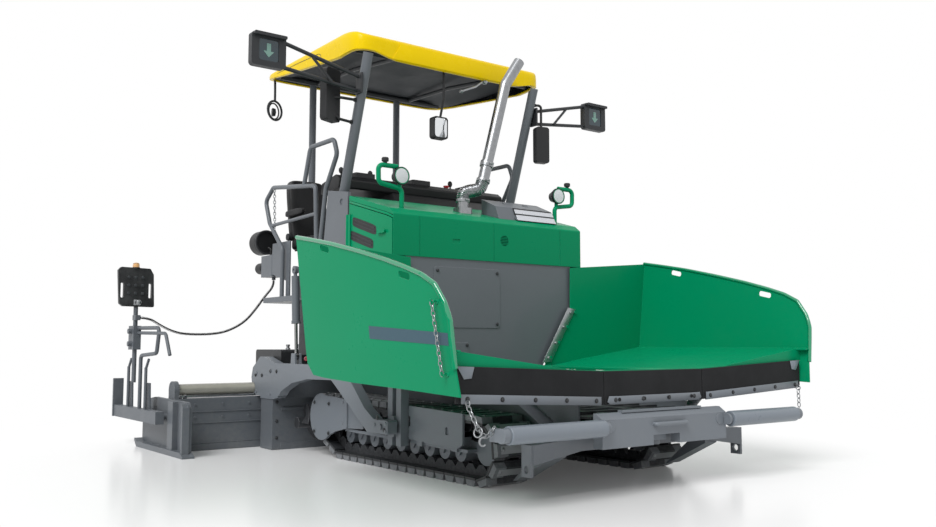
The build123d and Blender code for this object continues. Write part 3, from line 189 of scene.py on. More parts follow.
def trackRubber(name, padHue, chainHue, middle, half):
    # Track shoes: scuffed grey polyurethane pads outside the chain, dark greasy steel links in the middle.
    tree, place = newMaterial(name)
    out = timesOf(tree, timesOf(tree, axisOf(tree, place, "Y"), 0.0, "ABSOLUTE"), middle, "SUBTRACT")
    share = spanOf(tree, timesOf(tree, out, 0.0, "ABSOLUTE"), half, half + 0.004, 0.0, 1.0)
    scuffs = spanOf(tree, cloudOf(tree, place, 25, 6.0, 0.7), 0.4, 0.65, 0.0, 0.5)
    base = blendOf(tree, share, blendOf(tree, scuffs, chainHue, "#55575a"), blendOf(tree, scuffs, padHue, "#8b8d8f"))
    normal, edge = edgeOf(tree, 0.004)
    return finishMaterial(name, tree, {
        "Base Color": blendOf(tree, timesOf(tree, edge, 0.4), base, "#a4a6a8"), "Roughness": 0.6,
        "Specular IOR Level": 0.35, "IOR": 1.5, "Normal": bumpOf(tree, scuffs, 0.001, 0.4, Normal=normal)})


def heightPair(name, lower, upper, level):
    # Remote stand: enamelled poles and beam below the level, black moulded panel above it.
    tree, place = newMaterial(name)
    share = spanOf(tree, axisOf(tree, place, "Z"), level, level + 0.002, 0.0, 1.0)
    dust = spanOf(tree, cloudOf(tree, place, 120), 0.35, 0.7, 0.0, 0.12)
    normal, edge = edgeOf(tree, 0.002)
    dusty = blendOf(tree, dust, blendOf(tree, share, lower, upper), "#8b8d8f")
    return finishMaterial(name, tree, {
        "Base Color": blendOf(tree, timesOf(tree, edge, 0.3), dusty, "#8b9096"), "Roughness": 0.45,
        "Specular IOR Level": 0.35, "IOR": 1.5, "Normal": normal})


def bareSteel(name, hue, tint, rough=0.16, grain=30.0, metal=1.0):
    # Bare, chromed or zinc-plated steel: a mirror or a satin one, with faint turning marks and soft stains.
    tree, place = newMaterial(name)
    marks = cloudOf(tree, place, grain)
    return finishMaterial(name, tree, {
        "Base Color": blendOf(tree, marks, hue, tint), "Metallic": metal, "Normal": edgeOf(tree, 0.002)[0],
        "Roughness": spanOf(tree, marks, 0.3, 0.7, max(0.03, rough - 0.05), rough + 0.1)})


def castSteel(name):
    # Forged and cast steel that has run in dirt: a pitted skin (pits 16 mm) with bright rubbed edges.
    tree, place = newMaterial(name)
    pits = cloudOf(tree, place, 16, 6.0, 0.7)
    normal, edge = edgeOf(tree, 0.005)
    base = blendOf(tree, cloudOf(tree, place, 140), "#45474b", "#2f3033")
    return finishMaterial(name, tree, {
        "Base Color": blendOf(tree, timesOf(tree, edge, pits), base, "#8f9092"), "Metallic": 0.5, "Roughness": 0.5,
        "Normal": bumpOf(tree, pits, 0.0012, 0.5, Normal=normal)})


def mouldedPlastic(name, hue, rough=0.45, grain=0.0005, fine=7.0, gloss=0.4, coat=0.0, low=0.9, high=1.05):
    # Moulded ABS, polythene or gelcoat with a spark-eroded grain, drawn a few millimetres wide so that it shows.
    tree, place = newMaterial(name)
    clouds = cloudOf(tree, place, 250, 5.0)
    bright = spanOf(tree, clouds, 0.3, 0.7, low, high)
    grained = bumpOf(tree, cloudOf(tree, place, fine, 2.0), grain, 0.3, Normal=edgeOf(tree, 0.003)[0])
    return finishMaterial(name, tree, {
        "Base Color": addNode(tree, "HueSaturation", {"Color": hue, "Value": bright}).outputs[0],
        "Roughness": spanOf(tree, clouds, 0.3, 0.7, rough - 0.06, rough + 0.1), "IOR": 1.49,
        "Specular IOR Level": gloss, "Coat Weight": coat, "Coat Roughness": 0.05, "Normal": grained})


def clearLens(name, hue, glow, rough=0.05):
    # Clear or tinted lens over a reflector: glossy, with a soft light of its own that stands for the reflector.
    tree, place = newMaterial(name)
    ribs = addNode(tree, "TexWave", {"Vector": place, "Scale": 40.0, "Distortion": 0.3}, {"bands_direction": "Y"})
    ribs = ribs.outputs["Fac"]
    return finishMaterial(name, tree, {
        "Base Color": blendOf(tree, ribs, hue, "#8e9496"), "Roughness": rough, "IOR": 1.52, "Emission Color": hue,
        "Emission Strength": glow, "Coat Weight": 0.8, "Coat Roughness": 0.02,
        "Normal": bumpOf(tree, ribs, 0.002, 0.5)})


# the record's slots
looks = {
    "green_enamel": paintedSteel("greenEnamel", "#008a5e", "#2fb98c", 0.3, 0.04, 0.08, coat=0.02, pattern="#00875a"),
    "grey_enamel": paintedSteel("greyEnamel", "#63686e", "#9a9fa4", 0.42, 0.16, 0.35, pattern="#5c6167"),
    "dark_enamel": paintedSteel("darkEnamel", "#3f4246", "#74787d", 0.5, 0.2, 0.3),
    "yellow_moulding": mouldedPlastic("yellowGelcoat", "#e8c600", 0.25, 0.0002, gloss=0.1, coat=0.06, low=0.97,
                                      high=1.02),
    "black_plastic": mouldedPlastic("blackPlastic", "#1f2022"),
    "rubber": wornRubber("rubberBelt", "#17181a", "#2c2d2f"),
    "track_steel": castSteel("trackSteel"),
    "bright_steel": bareSteel("brightSteel", "#a3a5a7", "#75736f"),
    "cast_steel": castSteel("castSteel"),
    "seat_vinyl": mouldedPlastic("seatVinyl", "#191a1c", 0.5, 0.0012, 11.0),
}
slotOf = {slot: slot for slot in looks}
# looks of single pieces, each with the slot that it belongs to
for slot, more in {
    "grey_enamel": {
        "cover": paintedSteel("coverEnamel", "#70767d", "#a5aaaf", 0.4, 0.12, 0.3),
        "roller": paintedSteel("rollerEnamel", "#757d86", "#b3b9be", 0.3, 0.12, 0.4),
        "screed": paintedSteel("screedEnamel", "#5c6167", "#8b9096", 0.45, 0.2, 0.3),
        "stripe": paintedSteel("stripeFilm", "#465d69", "#465d69", 0.4, 0.03, 0.1, coat=0.0),
        "darkSteel": paintedSteel("darkSteel", "#2b2d30", "#5a5d60", 0.45, 0.1, 0.3),
        "remote": heightPair("remoteEnamel", "#595e64", "#1b1c1e", 1.205),
        "redLens": clearLens("redReflector", "#d8203c", 0.15, 0.2)},
    "green_enamel": {
        # the rolled lip's very pale edge colour is partly a painted highlight; the rest of its highlight comes from
        # its gloss
        "lipEnamel": paintedSteel("glossEnamel", "#00875c", "#5fdcb4", 0.12, 0.0, 0.5, radius=0.001, coat=1.0)},
    "bright_steel": {
        "zinc": bareSteel("zincPlate", "#b4b6b8", "#7f8285", 0.3, 18.0),
        "chrome": bareSteel("chromedSteel", "#b4b6b8", "#7d7f82", 0.08),
        "pipe": bareSteel("aluminisedPipe", "#a4a6a8", "#7d7f82", 0.28),
        "shine": bareSteel("polishedSlat", "#d4d6dc", "#c4c6cc", 0.3, metal=0.6),
        "mirror": bareSteel("mirrorGlass", "#e8eaec", "#d9dcdf", 0.03),
        "cream": mouldedPlastic("creamTube", "#a5a398", 0.3, gloss=0.5, coat=0.3),
        "lens": clearLens("lampLens", "#d8dcde", 0.18)},
    "track_steel": {
        "pads": trackRubber("trackPads", "#6b6e72", "#2c2e31", 0.695, 0.078),
        "shoeFace": paintedSteel("wornFace", "#9a9da0", "#c4c7ca", 0.4, 0.1, 0.3)},
    "black_plastic": {
        "liner": mouldedPlastic("linerBoard", "#3c3f42", 0.6, gloss=0.25),
        "amber": clearLens("amberLens", "#f5a800", 0.12, 0.15),
        "arrow": clearLens("arrowLight", "#12836a", 0.12, 0.3),
        "screen": mouldedPlastic("screenGlass", "#072a36", 0.12, 0.0, gloss=0.6, coat=0.5),
        "redPlastic": mouldedPlastic("redKnob", "#c01f26", 0.35)},
}.items():
    looks.update(more)
    slotOf.update(dict.fromkeys(more, slot))
nodeLooks = {part["node"]: part["material_slot"] for part in frame["record"]["subparts"]}
for look, some in {
    "pads": "track_left track_right", "roller": "push_roller_left push_roller_right", "pipe": "exhaust_pipe",
    "cover": "track_frames push_bar tow_arms tow_columns", "remote": "remote_panel_left remote_panel_right",
    "screed": "screed_frame extension_left extension_right end_plate_left end_plate_right",
    "darkSteel": "screed_boxes rear_body conveyor signal_panels",
}.items():
    nodeLooks.update(dict.fromkeys(some.split(), look))
for name, node in nodes.items():
    node.data.materials.clear()
    node.data.materials.append(looks[nodeLooks[name]])
print("finishes made")


def gridFaces(rows, columns, closeRows=False, closeColumns=False):
    # quads (i, j), (i + 1, j), (i + 1, j + 1), (i, j + 1) of a rows by columns grid, wrapped round where it closes
    i, j = np.meshgrid(np.arange(rows - (not closeRows)), np.arange(columns - (not closeColumns)), indexing="ij")
    k, m = (i + 1) % rows, (j + 1) % columns
    return np.stack([i * columns + j, k * columns + j, k * columns + m, i * columns + m], -1).reshape(-1, 4)


def unit(vectors):
    vectors = np.asarray(vectors, float)
    return vectors / np.maximum(np.linalg.norm(vectors, axis=-1, keepdims=True), 1e-12)


def circle(count):
    return np.linspace(0, 2 * np.pi, count, endpoint=False)


def squared(value, power):
    # sign of the value times its size to the power: below one it squares a round shape
    return np.sign(value) * np.abs(value) ** power


def outlineAt(x, sign, pairs):
    return [(x, sign * y, z) for y, z in pairs]


def alongOf(line):
    return np.concatenate([[0.0], np.cumsum(np.linalg.norm(np.diff(line, axis=0), axis=1))])


def pointsAt(s, along, line):
    return np.stack([np.interp(s, along, line[:, k]) for k in range(line.shape[1])], -1)


def tubeSurface(path, radius, around=12, closed=False, upright=upward):
    # point = path + radius (cos t side + sin t up), side square to the run and to the upright, up square to both;
    # an open tube's ends shrink to a point, which closes them
    path = np.asarray(path, float)
    if closed:
        run = unit(np.roll(path, -1, 0) - np.roll(path, 1, 0))
    else:
        run = unit(np.gradient(path, axis=0))
        path, run = path[[0, *range(len(path)), -1]], run[[0, *range(len(run)), -1]]
    radius = np.broadcast_to(np.asarray(radius, float), (len(path) - (0 if closed else 2),))
    radius = radius if closed else np.concatenate([[0.0], radius, [0.0]])
    side = unit(np.cross(run, np.asarray(upright, float)))
    t = circle(around)[None, :, None]
    ring = np.cos(t) * side[:, None] + np.sin(t) * np.cross(side, run)[:, None]
    return (path[:, None] + radius[:, None, None] * ring).reshape(-1, 3), gridFaces(len(path), around, closed, True)


def latheSurface(profile, base, axis, around=20):
    # point = base + height axis + radius (cos t u + sin t v), for each (radius, height) of the profile
    profile, axis = np.asarray(profile, float), unit(axis)
    u = unit(np.cross(axis, (0.31, 0.87, 0.38) if abs(axis[0]) + abs(axis[2]) > 0.1 else (1.0, 0.0, 0.0)))
    t = circle(around)[:, None]
    ring = np.cos(t) * u + np.sin(t) * np.cross(axis, u)
    points = np.asarray(base, float) + profile[:, None, 1:] * axis + profile[:, None, :1] * ring[None]
    return points.reshape(-1, 3), gridFaces(len(profile), around, False, True)


def discSurface(radius, low, high, base, axis, around):
    # a plain cylinder from low to high along its axis
    return latheSurface([(0, low), (radius, low), (radius, high), (0, high)], base, axis, around)


def slabSurface(corners, push):
    # a flat outline and the same outline moved by push, joined round the edge and closed by both
    corners = np.asarray(corners, float)
    count = len(corners)
    a = np.arange(count)
    b = (a + 1) % count
    faces = np.stack([a, b, b + count, a + count], -1).tolist()
    points = np.concatenate([corners, corners + np.asarray(push, float)])
    return points, faces + [list(range(count))[::-1], list(range(count, 2 * count))]


def joinSurfaces(surfaces):
    points, faces, base = [], [], 0
    for some, loops in surfaces:
        points.append(np.asarray(some, float))
        loops = loops.tolist() if isinstance(loops, np.ndarray) else loops
        faces += [[index + base for index in loop] for loop in loops]
        base += len(some)
    return np.concatenate(points), faces


def manySurface(surface, places, turns=None):
    # the same small surface at many places, turned at each by its own rows of axes if they are given
    points, faces = surface
    places = np.asarray(places, float)
    if turns is None:
        points = np.broadcast_to(points, (len(places), *points.shape))
    else:
        points = np.einsum("nij,kj->nki", turns, points)
    return joinSurfaces([(some + place, faces) for some, place in zip(points, places)])


# Meshes: distances of merging, turn in radians of an edge that is bevelled, turn in degrees of a sharp one
meshSet = {"merge": 1e-6, "sliver": 1e-7, "bevelTurn": 0.5, "sharp": 34}


def putPiece(name, surfaces, look, body="tractor", bevel=0.0, stands=()):
    # the mesh of a piece: doubles merged, edges bevelled, faces turned outwards, smooth but for its sharp edges
    points, faces = joinSurfaces(surfaces if isinstance(surfaces, list) else [surfaces])
    mesh = bpy.data.meshes.new(name)
    mesh.from_pydata(points.tolist(), [], faces)
    work = bmesh.new()
    work.from_mesh(mesh)
    bmesh.ops.remove_doubles(work, verts=work.verts, dist=meshSet["merge"])
    bmesh.ops.dissolve_degenerate(work, edges=work.edges, dist=meshSet["sliver"])
    bmesh.ops.recalc_face_normals(work, faces=work.faces)
    if bevel:
        corners = [edge for edge in work.edges
                   if edge.is_manifold and edge.calc_face_angle(0.0) > meshSet["bevelTurn"]]
        bmesh.ops.bevel(work, geom=corners, offset=bevel, segments=2, affect="EDGES", profile=0.5)
    work.to_mesh(mesh)
    work.free()
    mesh.polygons.foreach_set("use_smooth", [True] * len(mesh.polygons))
    mesh.set_sharp_from_angle(angle=math.radians(meshSet["sharp"]))
    mesh.materials.append(looks[look])
    piece = addObject(name, mesh)
    if body:
        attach(piece, body)
    if stands:
        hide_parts(*stands)
    return piece


# The curly cord: outer diameter, wire radius, length of one turn along it and of the straight tails; points along
# a turn and round the wire. Its two lengths with their routes. Metres.
cordSet = {"diameter": 0.024, "wire": 0.0034, "turn": 0.0105, "tail": 0.010, "steps": 14, "around": 7}
cordRoutes = {
    "cord_upper": {"bodies": ("tractor", "screed"), "length": 0.894, "tails": (True, False),
                   "points": [(-1.530, -0.800, 1.470), (-1.530, -0.800, 1.412), (-1.552, -0.870, 1.325),
                              (-1.577, -0.950, 1.200), (-1.606, -1.040, 1.085), (-1.648, -1.180, 1.002),
                              (-1.690, -1.320, 0.974), (-1.727, -1.425, 0.974)]},
    "cord_lower": {"bodies": ("screed", "extension_right"), "length": 0.534, "tails": (False, True),
                   "points": [(-1.727, -1.425, 0.974), (-1.764, -1.530, 0.974), (-1.812, -1.625, 1.000),
                              (-1.870, -1.712, 1.052), (-1.930, -1.795, 1.118), (-1.930, -1.875, 1.118)]},
}


def routeLine(name, route):
    # the smooth line of a NURBS spline that has the route's points as its control points
    curve = bpy.data.curves.new(name, "CURVE")
    curve.dimensions, curve.resolution_u = "3D", 24
    spline = curve.splines.new("NURBS")
    spline.points.add(len(route) - 1)
    spline.points.foreach_set("co", np.hstack([np.asarray(route, float), np.ones((len(route), 1))]).ravel())
    spline.order_u = 3
    spline.use_endpoint_u = True
    holder = addObject(name, curve)
    mesh = bpy.data.meshes.new_from_object(holder)
    line = np.empty(len(mesh.vertices) * 3)
    mesh.vertices.foreach_get("co", line)
    bpy.data.objects.remove(holder)
    return line.reshape(-1, 3)


def curlyCord(name, facts, startTurn):
    # helix: line + lift (cos a side + sin a up), a growing by one turn each cordSet["turn"] metres along the line,
    # lift falling to nothing at a free end; the wire is a ring round that helix, set square to it
    line = routeLine(name, facts["points"])
    along = alongOf(line)
    full = along[-1]
    count = int(full / cordSet["turn"] * cordSet["steps"])
    s = np.linspace(0, full, count)
    middle = pointsAt(s, along, line)
    run = unit(np.gradient(middle, axis=0))
    side = unit(np.cross(run, (1.0, 0.0, 0.0)))
    lift = np.full(count, cordSet["diameter"] / 2 - cordSet["wire"])
    for tailed, distance in zip(facts["tails"], (s, full - s)):
        v = np.clip(distance / cordSet["tail"], 0, 1)
        lift = lift * (v ** 2 * (3 - 2 * v) if tailed else 1.0)
    a = ((startTurn + s / cordSet["turn"]) * 2 * np.pi)[:, None]
    out = np.cos(a) * side + np.sin(a) * np.cross(side, run)
    helix = middle + lift[:, None] * out
    across = unit(np.cross(unit(np.gradient(helix, axis=0)), out))
    t = circle(cordSet["around"])[None, :, None]
    size = np.full(count, cordSet["wire"])
    size[[0, -1]] = 1e-5
    points = helix[:, None] + size[:, None, None] * (np.cos(t) * out[:, None] + np.sin(t) * across[:, None])
    surface = (points.reshape(-1, 3), gridFaces(count, cordSet["around"], False, True))
    piece = putPiece(name + "Coil", surface, "rubber", None, stands=(name,))
    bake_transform(piece)
    print(name, "spline length", round(float(full), 3))
    return startTurn + full / cordSet["turn"]


turnsSoFar = 0.0
for name, facts in cordRoutes.items():
    turnsSoFar = curlyCord(name, facts, turnsSoFar)
print("cords made")

# Bolts: outlines of the six-sided domed head and of its round washer, as shares of the head's radius
boltSet = {"head": (6, ((0, 0.7), (0.8, 0.7), (1, 0.55), (1, 0), (0, 0))),
           "washer": (14, ((0, 0.18), (1.45, 0.15), (1.45, 0), (0, 0)))}


def boltHeads(places, axis, radius):
    return [manySurface(latheSurface(radius * np.array(profile), (0, 0, 0), axis, around), places)
            for around, profile in boltSet.values()]


# Steel chains: wire radius, half length and half width of a link. Metres.
chainSet = {"wire": 0.0032, "half": 0.017, "wide": 0.0105}


def chainSurface(path, half=chainSet["half"], wide=chainSet["wide"]):
    # link = ellipse (half cos t, wide sin t) with a round wire, set along the path every two inner half lengths,
    # each link turned a quarter turn about the path from the one before
    path, wire = np.asarray(path, float), chainSet["wire"]
    along = alongOf(path)
    step = 2 * (half - 1.2 * wire)
    s = np.arange(step / 2, along[-1], step)
    run = unit(pointsAt(s + 0.004, along, path) - pointsAt(s - 0.004, along, path) + 1e-9)
    side = unit(np.cross(run, (0.13, 0.99, 0.05)))
    up = np.cross(run, side)
    odd = (np.arange(len(s)) % 2)[:, None]
    turns = np.stack([run, np.where(odd, side, up), np.where(odd, up, -side)], -1)
    t = circle(14)
    oval = np.stack([half * np.cos(t), wide * np.sin(t), 0 * t], -1)
    return manySurface(tubeSurface(oval, wire, 6, True), pointsAt(s, along, path), turns)


def sagLine(start, end, sag=0.0):
    # straight from start to end, lowered by sag times 4 v (1 - v)
    v = np.linspace(0, 1, 40)[:, None]
    return np.asarray(start, float) * (1 - v) + np.asarray(end, float) * v - np.array([0, 0, sag]) * 4 * v * (1 - v)


def ringLine(middle, radius, u, v, share=1.0, count=22, start=0.0):
    # point = middle + radius (cos t u + sin t v), over that share of a full turn
    t = (start + np.linspace(0, 2 * np.pi * share, count, endpoint=share < 1.0))[:, None]
    return np.asarray(middle, float) + radius * (np.cos(t) * np.asarray(u, float) + np.sin(t) * np.asarray(v, float))


def plateAcross(x, sign, pairs, thick):
    # a plate square to the machine's length: its outline as (across, height) pairs, mirrored by sign
    return slabSurface(outlineAt(x, sign, pairs), (thick, 0, 0))


def plateAlong(y, pairs, thick):
    # a plate along the machine: its outline as (along, height) pairs
    return slabSurface([(x, y, z) for x, z in pairs], (0, thick, 0))


# Hopper: foot and slope of the wings' outer wall; stripe film as (x, top, low) at its ends, with its two faces off
# the wall; rolled lip as (x, z); chain of the wing's corner; seal strip; strip, bolts and corner plate of the flap;
# thickness of thin plates; aprons and hinge strip that close the gaps under the flaps. Metres.
hopperSet = {
    "wallFoot": (1.600, 0.862), "wallRise": 0.1138, "stripe": ((1.545, 0.996, 0.920), (2.335, 0.946, 0.880)),
    "grid": (30, 4), "film": (0.0012, -0.0010), "lipRadius": 0.0142, "lipIn": 0.005,
    "lip": ((0.716, 1.592), (0.920, 1.557), (1.186, 1.508), (1.495, 1.439), (1.778, 1.370), (1.987, 1.311),
            (2.135, 1.263), (2.205, 1.228), (2.250, 1.205), (2.285, 1.158), (2.325, 1.105), (2.346, 1.055),
            (2.360, 1.010), (2.363, 0.930), (2.366, 0.764)),
    "chainTop": (2.262, 1.115), "chainLow": (2.292, 0.735), "link": (0.019, 0.012),
    "hook": ((0, 0), (0.022, 0.0), (0.030, -0.012), (0.040, -0.008), (0.044, 0.010)),
    "sealX": 0.7305, "seal": ((0.462, 0.742), (0.553, 0.746), (0.824, 1.170), (0.741, 1.184)),
    "sealShares": (0.05, 0.34, 0.66, 0.95), "flapX": 2.3166, "thin": 0.0012,
    "flap": ((0.480, 0.528), (1.510, 0.576), (1.510, 0.626), (0.480, 0.578)),
    "flapShares": (0.04, 0.27, 0.5, 0.73, 0.96), "flapBolt": 0.0098,
    "corner": ((1.440, 0.708), (1.490, 0.704), (1.536, 0.773), (1.421, 0.768)),
    "middle": ((-0.43, 0.546), (-0.405, 0.530), (0.405, 0.530), (0.43, 0.546), (0.415, 0.580), (0.320, 0.578),
               (-0.320, 0.578), (-0.415, 0.580)),
    "floorApron": ((-0.449, 0.690), (0.449, 0.690), (0.449, 0.732), (-0.449, 0.732)),
    "wingApron": ((0.458, 0.690), (0.900, 0.712), (0.900, 0.751), (0.458, 0.733)),
    "hingeStrip": ((0.458, 0.698), (0.4835, 0.698), (0.4835, 0.724), (0.458, 0.716)),
}


def wallOut(z):
    return hopperSet["wallFoot"][0] + (z - hopperSet["wallFoot"][1]) * hopperSet["wallRise"]


def stripeFilm(side, sign):
    # two sheets, one on each face of the wall line, joined round their rim
    (x0, top0, low0), (x1, top1, low1) = hopperSet["stripe"]
    rows, columns = hopperSet["grid"]
    total = rows * columns
    u, v = np.meshgrid(np.linspace(0, 1, rows), np.linspace(0, 1, columns), indexing="ij")
    x, z = x0 + (x1 - x0) * u, (low0 + (low1 - low0) * u) * (1 - v) + (top0 + (top1 - top0) * u) * v
    sheets = [np.stack([x, sign * (wallOut(z) + lift), z], -1).reshape(-1, 3) for lift in hopperSet["film"]]
    sheet = gridFaces(rows, columns)
    rim = np.concatenate([np.arange(0, total, columns), np.arange(total - columns + 1, total),
                          np.arange(total - columns - 1, 0, -columns), np.arange(columns - 2, 0, -1)])
    edge = np.stack([rim, np.roll(rim, -1), np.roll(rim, -1) + total, rim + total], -1)
    faces = np.concatenate([sheet, sheet[:, ::-1] + total, edge])
    putPiece(f"stripe_{side}", (np.concatenate(sheets), faces), "stripe", f"hopper_wing_{side}")


def wingChain(side, sign):
    # straight chain down the wing's corner, with a hook on a boss at each end
    body, ends, hooks = f"hopper_wing_{side}", [], []
    for (x, z), out in ((hopperSet["chainTop"], 0.030), (hopperSet["chainLow"], 0.026)):
        place = np.array([x, sign * (wallOut(z) + out), z])
        root = place - np.array([0, sign * 0.032, 0])
        ends.append(place + np.array([0, sign * 0.004, 0]))
        hooks.append(tubeSurface([root + [0, sign * y, z] for y, z in hopperSet["hook"]], 0.0062, 10, upright=ahead))
        hooks.append(latheSurface([(0, 0.004), (0.017, 0.004), (0.019, 0.0), (0, 0.0)], root, (0, sign, 0.11)))
    putPiece(f"wingChain_{side}", chainSurface(sagLine(*ends)), "zinc", body)
    putPiece(f"chainHooks_{side}", hooks, "green_enamel", body)


def flapChain(side, sign):
    # ring and short chain below the flap strip's outer end; on the right a second chain, a shackle and a hook
    root = np.array([2.330, sign * 1.480, 0.592])
    low = root + np.array([0.055, 0.02, -0.125] if sign < 0 else [0.010, 0, -0.150])
    ring = ringLine(root + [0.006, 0, -0.014], 0.017, upward, ahead)
    parts = [tubeSurface(ring, 0.0036, 8, True, upright=aside),
             chainSurface(sagLine(root + [0.006, 0, -0.028], low), *hopperSet["link"])]
    if sign < 0:
        shackle = ringLine(low + [0, 0.01, -0.035], 0.026, (0, 0.3, 0.95), (0.9, 0.3, -0.1))
        hook = ringLine(low + [-0.005, 0.045, -0.085], 0.022, aside, upward, 0.72, 16, 0.9)
        parts += [chainSurface(sagLine(low, low + [-0.02, 0.13, -0.02], 0.05), *hopperSet["link"]),
                  tubeSurface(shackle, 0.0045, 8, True, upright=(0.1, 0.9, -0.3)),
                  tubeSurface(hook, 0.006, 8, upright=ahead)]
    putPiece(f"flapChain_{side}", parts, "zinc", f"hopper_wing_{side}")


def hopperParts(side, sign):
    body, thin, flapX = f"hopper_wing_{side}", hopperSet["thin"], hopperSet["flapX"]
    stripeFilm(side, sign)
    lip = np.array([(x, sign * (wallOut(z) - hopperSet["lipIn"]), z) for x, z in hopperSet["lip"]])
    lip = pointsAt(np.linspace(0, 1, 160), np.linspace(0, 1, len(lip)), lip)
    for _ in range(3):
        lip[1:-1] = (lip[:-2] + 2 * lip[1:-1] + lip[2:]) / 4
    putPiece(f"rolledLip_{side}", tubeSurface(lip, hopperSet["lipRadius"], 16, upright=aside), "lipEnamel", body)
    putPiece(f"sealStrip_{side}", plateAcross(hopperSet["sealX"], sign, hopperSet["seal"], 0.004), "zinc", body,
             bevel=thin)
    places = [(hopperSet["sealX"] + 0.004, sign * (0.512 + 0.272 * v), 0.757 + 0.406 * v)
              for v in hopperSet["sealShares"]]
    putPiece(f"sealBolts_{side}", boltHeads(places, ahead, 0.012), "zinc", body)
    wingChain(side, sign)
    putPiece(f"flapStrip_{side}", plateAcross(flapX, sign, hopperSet["flap"], thin), "cover", body, bevel=thin / 3)
    places = [(flapX + thin, sign * (0.480 + 1.03 * v), 0.554 + 0.048 * v) for v in hopperSet["flapShares"]]
    putPiece(f"flapBolts_{side}", boltHeads(places, ahead, hopperSet["flapBolt"]), "darkSteel", body)
    putPiece(f"flapCorner_{side}", plateAcross(flapX - 0.0014, sign, hopperSet["corner"], thin), "roller", body,
             bevel=thin / 3)
    flapChain(side, sign)
    putPiece(f"wingApron_{side}", plateAcross(2.2835, sign, hopperSet["wingApron"], 0.0055), "green_enamel", body,
             bevel=0.001)
    putPiece(f"hingeStrip_{side}", plateAcross(0.740, sign, hopperSet["hingeStrip"], 1.520), "green_enamel",
             bevel=0.001)


for side, sign in sides:
    hopperParts(side, sign)
strip = plateAcross(hopperSet["flapX"], 1, hopperSet["middle"], hopperSet["thin"])
putPiece("middleStrip", strip, "cover", bevel=hopperSet["thin"] / 3)
places = [(hopperSet["flapX"] + hopperSet["thin"], y, 0.556) for y in (-0.36, -0.12, 0.12, 0.36)]
putPiece("middleBolts", boltHeads(places, ahead, hopperSet["flapBolt"]), "darkSteel")
putPiece("floorApron", plateAcross(2.262, 1, hopperSet["floorApron"], 0.026), "green_enamel", bevel=0.002)
print("hopper fittings made")

# Seats: place across; (x, z) and half sizes of cushion, back and armrest; their sewn channels as (axis they cross,
# place, axis they dent) and how deep and wide those are; rear, front, foot and top of the suspension bellows.
# Metres.
seatSet = {
    "y": 0.596, "cushion": ((-1.020, 1.772), (0.235, 0.188, 0.062)), "back": ((-1.283, 2.085), (0.052, 0.186, 0.285)),
    "lean": -0.165, "armrest": ((-1.125, 2.046), (0.165, 0.028, 0.030)), "armOut": 0.2,
    "cushionSewn": ((1, 0.105, 2), (1, -0.105, 2), (0, -0.11, 2), (0, 0.06, 2)),
    "sewnDepth": 0.004, "sewnWide": 0.012,
    "backSewn": ((1, 0.11, 0), (1, -0.11, 0), (2, -0.09, 0), (2, 0.03, 0), (2, 0.15, 0)),
    "stem": (-1.180, -0.860, 1.302, 1.708), "stemHalf": 0.138, "folds": 5, "stemSquare": 0.35,
}


def pillowSurface(middle, half, ends, across, rows=28, columns=48, lean=0.0, channels=()):
    # superellipsoid: cos and sin of both angles raised to a power below one, which squares the ball; the sewn
    # channels are dips exp(-((v - place) / wide) ** 2) on its faces; lean moves x by lean times z
    eta, omega = np.meshgrid(np.linspace(-np.pi / 2, np.pi / 2, rows), circle(columns) - np.pi, indexing="ij")
    waist = squared(np.cos(eta), ends)
    points = np.stack([waist * squared(np.cos(omega), across), waist * squared(np.sin(omega), across),
                       squared(np.sin(eta), ends)], -1) * np.asarray(half, float)
    for axis, place, facing in channels:
        dip = seatSet["sewnDepth"] * np.exp(-((points[..., axis] - place) / seatSet["sewnWide"]) ** 2)
        points[..., facing] -= dip * np.sign(points[..., facing])
    points[..., 0] += lean * points[..., 2]
    return (points + np.asarray(middle, float)).reshape(-1, 3), gridFaces(rows, columns, False, True)


def seatParts(name, sign, stands):
    y = sign * seatSet["y"]

    def pad(piece, part, fill, shape, out=0.0, stands=(), **rest):
        (x, z), half = seatSet[part]
        made = putPiece(piece, pillowSurface((x, y + out, z), half, *shape, **rest), "seat_vinyl", stands=stands)

    pad(f"seatCushion_{name}", "cushion", 0.8, (0.45, 0.28), stands=stands, channels=seatSet["cushionSewn"])
    pad(f"seatBack_{name}", "back", 0.8, (0.30, 0.42), lean=seatSet["lean"], channels=seatSet["backSewn"])
    for index, out in enumerate((-1, 1)):
        pad(f"seatArm_{name}_{index}", "armrest", 0.9, (0.5, 0.5, 16, 28), out * seatSet["armOut"])
    # bellows round the suspension: rounded square whose size swings by 4 % over its folds
    xRear, xFront, low, top = seatSet["stem"]
    v, t = np.meshgrid(np.linspace(0, 1, 41), circle(40), indexing="ij")
    size = np.where((v == 0) | (v == 1), 0.0, 0.93 + 0.04 * np.cos(v * seatSet["folds"] * 2 * np.pi))
    cosine, sine = squared(np.cos(t), seatSet["stemSquare"]), squared(np.sin(t), seatSet["stemSquare"])
    stem = np.stack([(xRear + xFront) / 2 + (xFront - xRear) / 2 * size * cosine,
                     y + seatSet["stemHalf"] * size * sine, low + (top - low) * v], -1).reshape(-1, 3)
    putPiece(f"seatBellows_{name}", (stem, gridFaces(41, 40, False, True)), "rubber")
    disc = ((0, -0.03), (0.032, -0.03), (0.034, 0.0), (0.032, 0.03), (0, 0.03))
    slide = ((-1.22, 1.712), (-0.82, 1.712), (-0.82, 1.728), (-1.22, 1.728))
    hinges = [latheSurface(disc, (-1.255, y + out * 0.178, 1.84), aside) for out in (-1, 1)]
    slides = [plateAlong(y + out * 0.15, slide, 0.012) for out in (-1, 1)]
    lever = [(-0.86, y + sign * 0.17, 1.715), (-0.80, y + sign * 0.195, 1.715), (-0.76, y + sign * 0.2, 1.722)]
    putPiece(f"seatHinges_{name}", hinges + slides + [tubeSurface(lever, 0.007, 8)], "darkSteel")


